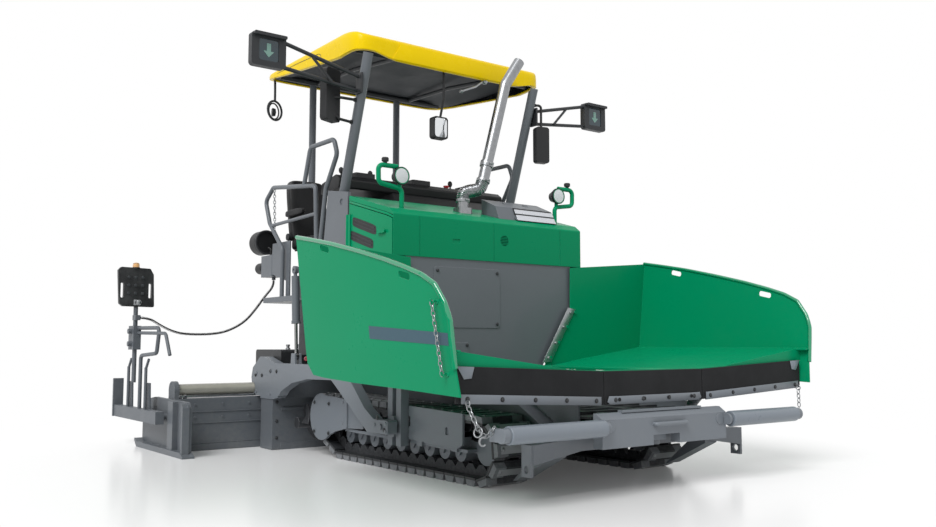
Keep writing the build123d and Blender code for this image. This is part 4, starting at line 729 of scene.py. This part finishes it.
for name, sign in sides:
    seatParts(name, sign, ("operator_seats",) if name == "left" else ())
print("seats made")

# Roof moulding: middle and half sizes of its plan, power that squares it, points round it, thickness; lines of its
# top along and across, of its lower edge and of its seam, as (place, height) pairs; rings of the wall as (share of
# the plan, share of the height). Metres.
roofSet = {
    "middle": -0.645, "half": (0.869, 0.945), "square": 0.15, "around": 240, "wall": 0.028,
    "top": ((-1.514, 3.450), (-0.900, 3.488), (-0.420, 3.462), (-0.060, 3.388), (0.120, 3.322), (0.224, 3.276)),
    "across": ((0.0, 3.488), (0.50, 3.462), (0.70, 3.440), (0.84, 3.395), (0.945, 3.330)),
    "sideLow": ((-1.514, 3.308), (-1.06, 3.248), (-0.52, 3.198), (-0.10, 3.158), (0.10, 3.168), (0.224, 3.172)),
    "frontLow": ((0.0, 3.116), (0.60, 3.118), (0.70, 3.135), (0.80, 3.160), (0.945, 3.170)),
    "seam": ((-1.42, 3.312), (-1.20, 3.300), (-0.80, 3.290), (-0.44, 3.276), (-0.40, 3.262), (-0.39, 3.235),
             (-0.40, 3.205)),
    "outside": ((0.994, 0.0), (1.0, 0.02), (1.0, 0.25), (0.999, 0.55), (0.997, 0.78), (0.993, 0.90), (0.987, 0.96),
                (0.978, 0.99), (0.966, 1.0), *((scale, 1.0) for scale in np.linspace(0.94, 0.0, 14))),
    "inside": (*((scale, 1.0) for scale in np.linspace(0.0, 0.955, 9)), (0.966, 0.8), (0.968, 0.3), (0.970, 0.0)),
}
turnAngle = circle(roofSet["around"])
planX = roofSet["half"][0] * squared(np.cos(turnAngle), roofSet["square"])
planY = roofSet["half"][1] * squared(np.sin(turnAngle), roofSet["square"])


def heightOn(pairs, place):
    return np.interp(place, *np.transpose(pairs))


def roofTop(x, y):
    # the lower of the line along the roof and the line across it, eased where they meet
    low, flat = heightOn(roofSet["top"], x), heightOn(roofSet["across"], np.abs(y))
    near = np.clip(1 - np.abs(low - flat) / 0.05, 0, 1)
    return np.minimum(low, flat) - 0.0125 * near ** 2


def roofLow():
    # height of the lower edge at each place of the plan: the side's line, blended into the front's line at the
    # front
    x = roofSet["middle"] + planX
    w = np.clip((x - 0.02) / 0.16, 0, 1)
    w = w * w * (3 - 2 * w)
    return heightOn(roofSet["sideLow"], x) * (1 - w) + heightOn(roofSet["frontLow"], np.abs(planY)) * w


def roofShell():
    # rings of a squared oval plan: up the wall, over a rounded shoulder, then shrinking to the middle on the top;
    # inside they come back down one wall thickness further in
    rings = []
    for key, wall in (("outside", 0.0), ("inside", roofSet["wall"])):
        for scale, share in roofSet[key]:
            x, y, low = roofSet["middle"] + planX * scale, planY * scale, roofLow()
            rings.append(np.stack([x, y, low + (roofTop(x, y) - wall - low) * share], -1))
    surface = (np.concatenate(rings), gridFaces(len(rings), roofSet["around"], True, True))
    putPiece("roofShell", surface, "yellow_moulding", stands=("roof_canopy",))


# Roof lining: ceiling lines along and across the roof as (place, height) pairs, share of the roof's plan, gap under
# the moulding, distance between its two sheets, shares of its rings, depth and width of its two ribs. Metres.
linerSet = {"along": ((-1.5, 3.330), (-0.30, 3.330), (0.161, 3.240)), "plan": 0.957, "gap": 0.008, "sheet": 0.003,
            "across": ((0.0, 3.400), (0.70, 3.350), (0.945, 3.240)), "rib": (0.006, 0.02), "ribs": (0.55, -0.62),
            "shares": (0.0, 0.1, 0.25, 0.4, 0.55, 0.7, 0.8, 0.88, 0.94, 0.98, 1.0)}


def roofLiner():
    # rings of the roof's plan: the rim stands on the roof's lower edge, the sheet runs under the lower of the two
    # ceiling lines and of the moulding's inside, with ribs; a second sheet just above closes it
    (deep, wide), (ribAcross, ribAlong) = linerSet["rib"], linerSet["ribs"]
    fullX, fullY = planX * linerSet["plan"], planY * linerSet["plan"]
    rings = []
    for lift, shares in ((linerSet["sheet"], linerSet["shares"]), (0.0, linerSet["shares"][::-1])):
        for share in shares:
            x, y = roofSet["middle"] + fullX * share, fullY * share
            z = np.minimum(heightOn(linerSet["along"], x), heightOn(linerSet["across"], np.abs(y)))
            z = np.minimum(z, roofTop(x, y) - roofSet["wall"]) - linerSet["gap"] + lift
            z = z - deep * np.exp(-((np.abs(y) - ribAcross) / wide) ** 2)
            z = z - deep * np.exp(-((x - ribAlong) / wide) ** 2)
            rings.append(np.stack([x, y, np.maximum(z, roofLow() + 0.012 + lift)], -1))
        if lift:
            rings.append(np.stack([roofSet["middle"] + fullX, fullY, roofLow() + 0.008], -1))
    putPiece("roofLiner", (np.concatenate(rings), gridFaces(len(rings), roofSet["around"], False, True)), "liner")


def seamOut(x):
    # half width of the squared oval plan at x, held a little inside it
    reach = abs((x - roofSet["middle"]) / roofSet["half"][0]) ** (2 / roofSet["square"])
    return (roofSet["half"][1] - 0.0004) * max(0.0, 1 - reach) ** (roofSet["square"] / 2)


roofShell()
roofLiner()
brow = ((-0.640, 3.124), (-0.560, 3.262), (0.560, 3.262), (0.640, 3.124))
putPiece("browPanel", plateAcross(0.2225, 1, brow, 0.0085), "yellow_moulding", bevel=0.004)
seams = [tubeSurface([(x, sign * seamOut(x), z) for x, z in roofSet["seam"]], 0.0022, 6, upright=aside)
         for _, sign in sides]
putPiece("roofSeams", seams, "darkSteel")
# roof frame tubes across and along, and the small latch rod at the front edge
roofBars = [tubeSurface([(x, y, z) for y in (-0.86, 0, 0.86)], 0.024) for x, z in ((0.06, 3.196), (-1.30, 3.300))]
roofBars += [tubeSurface([(-1.30, y, 3.300), (-0.6, y, 3.270), (0.06, y, 3.196)], 0.018, 10) for y in (-0.5, 0.5)]
putPiece("roofFrame", roofBars, "darkSteel")
latchRod = [tubeSurface([(0.196, 0.29, 3.118), (0.206, 0.20, 3.05), (0.210, 0.05, 2.985)], 0.009, 10),
            latheSurface([(0, -0.02), (0.02, -0.018), (0.024, 0.0), (0.02, 0.018), (0, 0.02)], (0.196, 0.30, 3.112),
                         aside),
            latheSurface([(0, -0.016), (0.013, -0.014), (0.013, 0.014), (0, 0.016)], (0.210, 0.045, 2.983), aside)]
putPiece("latchRod", latchRod, "zinc")
print("roof lining made")

# Lamps: place of the head lamp, (y, z) of the rear ones and the plane of their lenses; outlines as (radius, height)
# pairs from that place; place of the knob on the head lamp's bracket and height of the one under it. Metres.
lampSet = {
    "head": (0.560, 0.779, 2.124), "drum": (-0.840, 1.820), "round": (-0.835, 1.585), "rear": -1.760,
    "knob": (0.560, 0.905, 2.208), "stud": 2.058,
    "bowl": ((0, -0.056), (0.020, -0.055), (0.040, -0.050), (0.0635, 0.012), (0.0665, 0.016), (0.0665, 0.0345),
             (0.061, 0.0345), (0.060, 0.026), (0, 0.026)),
    "lens": ((0.0600, 0.027), (0.0585, 0.033), (0.040, 0.038), (0.020, 0.0405), (0, 0.0412)),
    "grip": ((0, 0), (0.014, 0), (0.016, 0.010), (0.026, 0.014), (0.027, 0.034), (0.022, 0.042), (0, 0.044)),
    "rim": ((0.095, -0.002), (0.106, -0.004), (0.1145, 0.006), (0.1145, 0.020), (0.106, 0.024), (0.095, 0.02)),
    "drumLens": ((0, 0.004), (0.05, 0.003), (0.094, 0.0), (0.094, -0.004), (0, -0.004)),
    "roundLens": ((0, 0.004), (0.02, 0.0035), (0.041, 0.001), (0.041, -0.003), (0, -0.003)),
    "reflector": ((0, -0.03), (0.034, -0.022), (0.040, 0.006), (0.033, 0.012), (0, 0.012)),
}
for side, sign in sides:
    x, y, z = lampSet["head"]
    knobX, knobY, knobZ = lampSet["knob"]
    putPiece(f"lampBowl_{side}", latheSurface(lampSet["bowl"], (x, sign * y, z), ahead, 32), "black_plastic")
    putPiece(f"lampLens_{side}", latheSurface(lampSet["lens"], (x, sign * y, z), ahead, 32), "lens")
    knobs = [latheSurface(lampSet["grip"], (knobX, sign * knobY, knobZ), upward, 18),
             discSurface(0.012, -0.028, 0.028, (x, sign * y, lampSet["stud"]), upward, 12)]
    putPiece(f"lampKnob_{side}", knobs, "black_plastic")
putPiece("drumRim", latheSurface(lampSet["rim"], (-1.624, *lampSet["drum"]), ahead, 36), "darkSteel")
for name, part, around in (("drumLens", "drum", 36), ("roundLens", "round", 28)):
    putPiece(name, latheSurface(lampSet[name], (lampSet["rear"], *lampSet[part]), (-1, 0, 0), around), "lens")
# hoop lamp that hangs under the roof's right rear corner: two hoops, its stem and its reflector
outerHoop = ringLine((-1.440, -0.862, 3.020), 0.088, (0.35, -0.94, 0), upward)
innerHoop = ringLine((-1.452, -0.866, 3.016), 0.072, (0.45, -0.89, 0), upward)
stem = [(-1.440, -0.862, 3.105), (-1.440, -0.862, 3.20), (-1.445, -0.862, 3.30)]
hoop = [tubeSurface(outerHoop, 0.010, 10, True, upright=(0.94, 0.35, 0)),
        tubeSurface(innerHoop, 0.007, 10, True, upright=(0.89, 0.45, 0)),
        tubeSurface(stem, 0.011, 10, upright=ahead),
        latheSurface(lampSet["reflector"], (-1.470, -0.866, 3.010), (-0.3, -0.95, 0))]
putPiece("hoopLamp", hoop, "darkSteel")
print("lamps made")

# Signal panels: screen plane, its middle, half sizes and squareness; the arrow's outline as shares of half its
# height
signalSet = {"x": 0.1508, "y": 1.6495, "z": 3.014, "half": (0.0765, 0.080), "square": 0.22,
             "arrow": ((-0.20, 0.62), (0.20, 0.62), (0.20, -0.10), (0.52, -0.10), (0.0, -0.66), (-0.52, -0.10),
                       (-0.20, -0.10))}
for side, sign in sides:
    t = circle(40)
    x, y, z, (halfY, halfZ) = signalSet["x"], sign * signalSet["y"], signalSet["z"], signalSet["half"]
    rimY, rimZ = squared(np.cos(t), signalSet["square"]), squared(np.sin(t), signalSet["square"])
    plate = np.stack([np.full(40, x), y + halfY * rimY, z + halfZ * rimZ], -1)
    putPiece(f"signalScreen_{side}", slabSurface(plate, (0.002, 0, 0)), "screen")
    shape = [(x + 0.0022, y + u * halfZ, z + v * halfZ) for u, v in signalSet["arrow"]]
    putPiece(f"signalArrow_{side}", slabSurface(shape, (0.001, 0, 0)), "arrow")
print("signal panels made")

# Mirrors: middle of the glass, its half sizes, and 1 or -1 as it faces forward or back; squareness and bulge
mirrorSet = {"glasses": {"mirrorGlass_left": ((0.1515, 0.948, 2.648), (0.052, 0.148), -1),
                         "mirrorGlass_inner": ((0.1285, -0.102, 2.670), (0.060, 0.080), 1)},
             "square": 0.35, "bulge": 0.006, "thick": 0.004}
for name, ((x, y, z), (halfY, halfZ), facing) in mirrorSet["glasses"].items():
    u, v = np.meshgrid(np.linspace(0, 1, 10), circle(44), indexing="ij")
    rimY, rimZ = squared(np.cos(v), mirrorSet["square"]), squared(np.sin(v), mirrorSet["square"])
    bulge = mirrorSet["bulge"] * (1 - u ** 2) * facing
    glass = np.stack([x + bulge, y + halfY * u * rimY, z + halfZ * u * rimZ], -1).reshape(-1, 3)
    rim = glass[-44:] - np.array([mirrorSet["thick"] * facing, 0, 0])
    putPiece(name, (np.concatenate([glass, rim]), gridFaces(11, 44, False, True)), "mirror")
print("mirrors made")

# Exhaust: line of the bellows on the elbow, their mean radius, wave and its pitch; place and axis of each clamp.
# Metres.
exhaustSet = {"bend": ((0.440, -0.110, 2.028), (0.440, -0.110, 2.070), (0.450, -0.075, 2.098), (0.474, 0.005, 2.112),
                       (0.484, 0.036, 2.128), (0.485, 0.058, 2.190)),
              "radius": 0.050, "wave": 0.0028, "pitch": 0.012,
              "clamps": (((0.440, -0.110, 2.020), upward), ((0.485, 0.060, 2.190), (0, 0.27, 0.96)),
                         ((0.485, 0.098, 2.328), (0, 0.26, 0.965))),
              "band": ((0.046, -0.012), (0.0555, -0.012), (0.0565, 0.0), (0.0555, 0.012), (0.046, 0.012))}
line = routeLine("bendLine", exhaustSet["bend"])
along = alongOf(line)
s = np.linspace(0, along[-1], 150)
radius = exhaustSet["radius"] + exhaustSet["wave"] * np.cos(s / exhaustSet["pitch"] * 2 * np.pi)
putPiece("exhaustBellows", tubeSurface(pointsAt(s, along, line), radius, 28, upright=ahead), "chrome")
bands = []
for (x, y, z), axis in exhaustSet["clamps"]:
    bands.append(latheSurface(exhaustSet["band"], (x, y, z), axis, 32))
    bands.append(discSurface(0.008, -0.018, 0.018, (x + 0.062, y, z), aside, 8))
putPiece("exhaustClamps", bands, "zinc")
print("exhaust made")

# Heat shield: black backing and two bright slats along its sloping front, as outlines of (along, height). Metres.
shieldSet = {
    "span": (0.285, 0.695),
    "backing": ((0.6495, 1.872), (0.632, 1.897), (0.589, 1.9795), (0.581, 1.9795), (0.600, 1.900), (0.630, 1.872)),
    "slats": (((0.6520, 1.875), (0.6352, 1.899), (0.6250, 1.920), (0.6210, 1.918), (0.6310, 1.897), (0.6480, 1.873)),
              ((0.6185, 1.932), (0.6015, 1.967), (0.5975, 1.965), (0.6145, 1.930)))}
first, last = shieldSet["span"]
putPiece("shieldBacking", plateAlong(first, shieldSet["backing"], last - first), "black_plastic")
putPiece("shieldSlats", [plateAlong(first, outline, last - first) for outline in shieldSet["slats"]], "shine")
print("heat shield made")

# Track: (x, z, radius) of the belt's three wheels; depth of the plates under the belt; pitch and middle of the
# shoes; length, width, thickness of a plate and height of its flat; half length, half width, foot and thickness of
# the worn face; clearance that bolts and faces keep from the ground. Metres.
trackSet = {"wheels": ((1.590, 0.220, 0.220), (-0.400, 0.305, 0.190), (-0.160, 0.156, 0.156)), "depth": 0.052,
            "pitch": 0.112, "middle": 0.695, "plate": (0.104, 0.338, 0.011, 0.0125),
            "face": (0.024, 0.135, 0.0515, 0.0012),
            "bolts": ((0, -0.115, 0.052), (0, 0.115, 0.052)), "clear": 0.002}


def beltLine():
    # belt round three wheels: arcs joined by their common tangents, cut in equal steps; each middle's place and run
    wheels = [(x, z, r - trackSet["depth"]) for x, z, r in trackSet["wheels"]]
    leans = []
    for (x1, z1, r1), (x2, z2, r2) in zip(wheels, wheels[1:] + wheels[:1]):
        leans.append(math.atan2(z2 - z1, x2 - x1) + math.asin((r1 - r2) / math.hypot(x2 - x1, z2 - z1)))
    line = []
    for index, (x, z, r) in enumerate(wheels):
        begin, end = leans[index - 1], leans[index]
        while end < begin:
            end += 2 * math.pi
        a = np.linspace(begin, end, 90)
        line.append(np.stack([x + r * np.sin(a), z - r * np.cos(a)], -1))
    line = np.concatenate(line + [line[0][:1]])
    along = alongOf(line)
    full = along[-1]
    count = round(full / trackSet["pitch"])
    s = (np.arange(count) + 0.5) * full / count
    ahead, behind = pointsAt((s + 0.002) % full, along, line), pointsAt((s - 0.002) % full, along, line)
    return pointsAt(s, along, line), unit(ahead - behind)


def trackParts(side, sign, spots, runs):
    length, width, thick, flat = trackSet["plate"]
    halfX, halfY, foot, lift = trackSet["face"]
    zero = np.zeros(len(spots))
    places = np.stack([spots[:, 0], zero + sign * trackSet["middle"], spots[:, 1]], -1)
    run = np.stack([runs[:, 0], zero, runs[:, 1]], -1)
    out = np.stack([runs[:, 1], zero, -runs[:, 0]], -1)
    out *= np.sign(((places - np.array([0.6, 0, 0.24])) * out).sum(-1))[:, None]
    turns = np.stack([run, np.broadcast_to([0.0, 1.0, 0.0], run.shape), out], -1)
    lips = ((-length / 2, -0.002), (length / 2, -0.002), (length / 2 + 0.001, thick), (length / 2 - 0.006, thick),
            (length / 2 - 0.008, flat), (-length / 2, flat))
    plates = manySurface(plateAlong(-width / 2, lips, width), places, turns)
    putPiece(f"shoePlates_{side}", plates, "darkSteel")
    face = [(-halfX, -halfY, foot), (halfX, -halfY, foot), (halfX, halfY, foot), (-halfX, halfY, foot)]
    for label, surface, look in (("shoeBolts", joinSurfaces(boltHeads(trackSet["bolts"], upward, 0.011)), "zinc"),
                                 ("shoeFaces", slabSurface(face, (0, 0, lift)), "shoeFace")):
        lowest = np.einsum("nj,kj->nk", turns[:, 2], surface[0]).min(1) + places[:, 2]
        keep = lowest > trackSet["clear"]
        putPiece(f"{label}_{side}", manySurface(surface, places[keep], turns[keep]), look)


spots, runs = beltLine()
for side, sign in sides:
    trackParts(side, sign, spots, runs)
print("track fittings made:", len(spots), "shoes a side")

# Screed: (x, z, radius) of the cream sleeve and of the bright rod, and the sleeve's ends across; fittings on the
# boxes as (x, y, height) and their foot; reflector; places of the bolts on cheeks and arms. Metres.
screedSet = {
    "tube": (-1.415, 0.505, 0.0491), "rod": (-1.352, 0.452, 0.0105), "span": (0.960, 1.706),
    "rodEnds": (0.90, 1.3, 1.715),
    "fittings": ((-1.18, 0.60, 0.050), (-1.27, 0.66, 0.036), (-1.38, 0.58, 0.060), (-1.46, 0.68, 0.032)),
    "foot": 0.838,
    "reflector": ((0, 0.006), (0.017, 0.006), (0.020, 0.003), (0.020, 0.0), (0, 0.0)),
    "cheeks": ((0.99, 0.10), (0.99, 0.24), (0.99, 0.40), (0.99, 0.54)),
    "arms": ((-1.35, 0.62), (-1.22, 0.62), (-1.05, 0.66), (-0.93, 0.66), (0.70, 0.38), (0.79, 0.30))}
for side, sign in sides:
    body = f"extension_{side}"
    x, z, r = screedSet["tube"]
    y0, y1 = screedSet["span"]
    sleeve = [(r - 0.003, 0), (r, 0), (r, y1 - y0), (r - 0.003, y1 - y0)]
    putPiece(f"guideSleeve_{side}", latheSurface(sleeve, (x, sign * y0, z), (0, sign, 0), 40), "cream", body)
    x, z, r = screedSet["rod"]
    rod = [tubeSurface([(x, sign * y, z) for y in screedSet["rodEnds"]], r, 16, upright=ahead)]
    rod += [discSurface(0.019, -0.012, 0.012, (x, sign * y, z), aside, 6) for y in (1.66, 1.70)]
    putPiece(f"guideRod_{side}", rod, "chrome", body)
    fittings = []
    for index, (x, y, h) in enumerate(screedSet["fittings"]):
        profile = [(0, 0), (0.024, 0), (0.024, 0.012), (0.016, 0.014), (0.016, h), (0.020, h + 0.002),
                   (0.020, h + 0.014), (0, h + 0.016)]
        fittings.append(latheSurface(profile, (x, sign * y, screedSet["foot"]), upward, 6 if index % 2 else 18))
    putPiece(f"boxFittings_{side}", fittings, "zinc", "screed")
    plate = latheSurface(screedSet["reflector"], (-1.0585, sign * 0.700, 0.760), ahead, 24)
    putPiece(f"reflector_{side}", plate, "redLens", "screed")
    places = outlineAt(-1.0085, sign, screedSet["cheeks"])
    putPiece(f"cheekBolts_{side}", boltHeads(places, ahead, 0.010), "darkSteel", "screed")
    places = [(x, sign * 1.0365, z) for x, z in screedSet["arms"]]
    putPiece(f"armBolts_{side}", boltHeads(places, (0, sign, 0), 0.012), "darkSteel", "screed")
print("screed fittings made")

# Remote panels: place of the stand, (across, height) of the keys, outlines as (radius, height) pairs and the jaw of
# the clamp as (x from the stand, z). Metres.
remoteSet = {
    "x": -1.955, "y": 1.900, "keys": ((-0.045, 0.015, 0.075), (1.330, 1.400, 1.470)),
    "dome": ((0, -0.004), (0.0295, -0.004), (0.0295, 0.024), (0.0285, 0.036), (0.024, 0.044), (0.014, 0.0492),
             (0, 0.0505)),
    "collar": ((0, -0.012), (0.036, -0.012), (0.036, -0.002), (0.031, 0.002), (0, 0.002)),
    "key": ((0, 0.0115), (0.0105, 0.0115), (0.0138, 0.009), (0.0142, 0.0), (0, 0.0)),
    "screw": ((0, 0), (0.008, 0), (0.008, 0.030), (0.022, 0.032), (0.025, 0.044), (0.020, 0.056), (0, 0.058)),
    "jaw": ((-0.026, 1.225), (0.034, 1.225), (0.034, 1.275), (-0.026, 1.275))}
for side, sign in sides:
    body, x, y = f"extension_{side}", remoteSet["x"], sign * remoteSet["y"]
    beacon = (x + 0.005, y + sign * 0.010)
    putPiece(f"beaconDome_{side}", latheSurface(remoteSet["dome"], (*beacon, 1.552), upward, 28), "amber", body)
    putPiece(f"beaconCollar_{side}", latheSurface(remoteSet["collar"], (*beacon, 1.558), upward, 28),
             "black_plastic", body)
    keys = [latheSurface(remoteSet["key"], (x + 0.0245, y + sign * keyY, keyZ), ahead)
            for keyY in remoteSet["keys"][0] for keyZ in remoteSet["keys"][1]]
    putPiece(f"remoteKeys_{side}", keys, "liner", body)
    jaws = [plateAlong(y - 0.030, [(x + u, z) for u, z in remoteSet["jaw"]], 0.060),
            latheSurface(remoteSet["screw"], (x + 0.034, y, 1.250), ahead, 18)]
    putPiece(f"remoteClamp_{side}", jaws, "zinc", body, bevel=0.003)
print("remote panels made")

# Console: (x, y) of the levers and their foot, (x, z) of the row of knobs and how many, y of the screens; outlines
# as (radius, height) pairs; screen as (across, height). Metres.
consoleSet = {
    "levers": ((-0.46, -0.70), (-0.46, -0.42), (-0.46, 0.42), (-0.46, 0.70)), "foot": 2.232, "row": (-0.505, 2.222),
    "knobs": 9, "reach": 0.34, "screens": (-0.56, 0.0, 0.56),
    "lever": ((0, 0), (0.032, 0), (0.030, 0.010), (0.020, 0.020), (0.014, 0.032), (0.009, 0.036), (0.008, 0.085),
              (0, 0.085)),
    "cap": ((0, 0.080), (0.015, 0.082), (0.021, 0.098), (0.020, 0.118), (0.010, 0.130), (0, 0.131)),
    "knob": ((0, 0), (0.013, 0), (0.012, 0.014), (0.008, 0.018), (0, 0.018)),
    "stop": ((0, 0), (0.018, 0), (0.018, 0.014), (0.026, 0.018), (0.027, 0.030), (0, 0.034)),
    "screen": ((-0.080, 2.212), (0.080, 2.212), (0.080, 2.284), (-0.080, 2.284))}
feet = [(x, y, consoleSet["foot"]) for x, y in consoleSet["levers"]]
rowX, rowZ = consoleSet["row"]
places = [(rowX, y, rowZ) for y in np.linspace(-consoleSet["reach"], consoleSet["reach"], consoleSet["knobs"])]
parts = [latheSurface(consoleSet["lever"], foot, (-0.1, 0, 1)) for foot in feet]
parts.append(manySurface(latheSurface(consoleSet["knob"], (0, 0, 0), (-0.2, 0, 1), 14), places))
putPiece("consoleLevers", parts, "darkSteel")
putPiece("consoleKnobs", [latheSurface(consoleSet["cap"], foot, (-0.1, 0, 1), 18) for foot in feet], "black_plastic")
for index, y in enumerate(consoleSet["screens"]):
    panel = plateAcross(-0.4725, 1, [(y + u, z) for u, z in consoleSet["screen"]], 0.002)
    putPiece(f"consoleScreen_{index}", panel, "screen", bevel=0.0006)
putPiece("stopButton", latheSurface(consoleSet["stop"], (-0.36, 0.30, 2.262), upward), "redPlastic")
print("console made")

# Chains across the entry rails, from (x, z) to (x, z); bolts of the front panels as (y, z), of the side covers as
# (x, z)
fastenerSet = {
    "rails": ((-1.318, 2.270), (-1.298, 1.900)),
    "panels": ((-0.53, 1.43), (0.03, 1.43), (-0.53, 1.04), (0.03, 1.04), (-0.40, 0.88), (-0.26, 0.88)),
    "covers": ((-0.52, 0.42), (-0.28, 0.42), (-0.52, 0.19), (-0.28, 0.19))}
railChains = [chainSurface(sagLine(*((x, sign * 0.906, z) for x, z in fastenerSet["rails"]))) for _, sign in sides]
putPiece("railChains", railChains, "zinc")
putPiece("panelBolts", boltHeads(outlineAt(0.7008, 1, fastenerSet["panels"]), ahead, 0.009), "darkSteel")
for side, sign in sides:
    places = [(x, sign * 0.8922, z) for x, z in fastenerSet["covers"]]
    putPiece(f"coverBolts_{side}", boltHeads(places, (0, sign, 0), 0.010), "darkSteel")
print("fasteners made")

# Side doors: outline of the head strip as (along, height); rear end and height of each louvre, its length and half
# height, how far it falls for each metre; the slats' inset, height and place as a share of the half height. Metres.
doorSet = {"head": ((0.070, 1.970), (0.612, 1.820), (0.692, 1.790), (0.692, 1.806), (0.613, 1.838), (0.070, 1.988)),
           "louvres": ((0.122, 1.825), (0.082, 1.725)), "size": (0.350, 0.037), "fall": 0.303, "square": 0.35,
           "inset": 0.02, "slat": 0.007, "slatShares": (-0.36, 0.36)}
for side, sign in sides:
    head = plateAlong(sign * 0.9075, doorSet["head"], sign * 0.0105)
    putPiece(f"doorHead_{side}", head, "green_enamel", bevel=0.001)
    louvres, slats = [], []
    (length, half), fall, inset, t = doorSet["size"], doorSet["fall"], doorSet["inset"], circle(48)
    for rear, level in doorSet["louvres"]:
        x = rear + length / 2 * (1 + squared(np.cos(t), doorSet["square"]))
        z = level + half * squared(np.sin(t), doorSet["square"]) - (x - rear) * fall
        louvres.append(plateAlong(sign * 0.9222, list(zip(x, z)), sign * 0.0010))
        x0, x1, drop = rear + inset, rear + length - inset, (length - 2 * inset) * fall
        for share in doorSet["slatShares"]:
            low = level + share * half
            pairs = ((x0, low), (x1, low - drop), (x1, low - drop - doorSet["slat"]), (x0, low - doorSet["slat"]))
            slats.append(plateAlong(sign * 0.9230, pairs, sign * 0.004))
    putPiece(f"doorLouvres_{side}", louvres, "black_plastic", f"side_door_{side}")
    putPiece(f"doorSlats_{side}", slats, "darkSteel", f"side_door_{side}")
print("side doors made")

# Studio: floor size, where it turns white, how white it is before that, sun, its way and spread, and sky strength
studioSet = {"floor": 60.0, "near": 2.6, "far": 5.2, "floorWhite": 0.05, "sun": 2.2, "sunWay": (0.30, -0.62, 0.75),
             "spread": 32.0, "sky": 0.62}


def seenRays(tree):
    # one for rays that come from the camera straight, off a mirror or through glass
    ray = addNode(tree, "LightPath").outputs
    seen = timesOf(tree, ray["Is Camera Ray"], ray["Is Glossy Ray"], "MAXIMUM")
    return timesOf(tree, seen, ray["Is Transmission Ray"], "MAXIMUM")


def studioFloor():
    # sealed pale floor, faintly glossy near the machine, white further out
    half = studioSet["floor"] / 2
    mesh = bpy.data.meshes.new("floor")
    mesh.from_pydata([(-half, -half, 0), (half, -half, 0), (half, half, 0), (-half, half, 0)], [], [(0, 1, 2, 3)])
    floor = addObject("floor", mesh)
    tree, place = newMaterial("paleFloor")
    reach = addNode(tree, "VectorMath", {0: place}, {"operation": "LENGTH"}).outputs["Value"]
    far = addNode(tree, "MapRange", {
        "Value": reach, "From Min": studioSet["near"], "From Max": studioSet["far"],
        "To Min": studioSet["floorWhite"], "To Max": 1.0}, {"interpolation_type": "SMOOTHSTEP"}).outputs[0]
    lit = addNode(tree, "BsdfPrincipled", {"Base Color": "#f6f6f6", "Roughness": 0.22, "Specular IOR Level": 0.4})
    glow = addNode(tree, "Emission", {"Color": (1, 1, 1, 1), "Strength": 1.0})
    mixed = addNode(tree, "MixShader", {0: timesOf(tree, seenRays(tree), far), 1: lit.outputs[0], 2: glow.outputs[0]})
    addNode(tree, "OutputMaterial", {"Surface": mixed.outputs[0]})
    mesh.materials.append(bpy.data.materials["paleFloor"])


def studioSun():
    data = bpy.data.lights.new("keySun", "SUN")
    data.energy, data.angle = studioSet["sun"], math.radians(studioSet["spread"])
    addObject("keySun", data).rotation_euler = turnTo(-Vector(studioSet["sunWay"]))


def studioSky():
    # a white backdrop for the rays that are seen, and a softer light on the machine
    world = bpy.data.worlds.new("studio")
    bpy.context.scene.world = world
    world.use_nodes = True
    tree = world.node_tree
    tree.nodes.clear()
    soft, white = (addNode(tree, "Background", {"Color": (1, 1, 1, 1), "Strength": strength}).outputs[0]
                   for strength in (studioSet["sky"], 1.0))
    mixed = addNode(tree, "MixShader", {0: seenRays(tree), 1: soft, 2: white})
    addNode(tree, "OutputWorld", {"Surface": mixed.outputs[0]})


studioFloor()
studioSky()
studioSun()
bpy.context.scene.view_settings.view_transform = "Standard"
print("studio set")
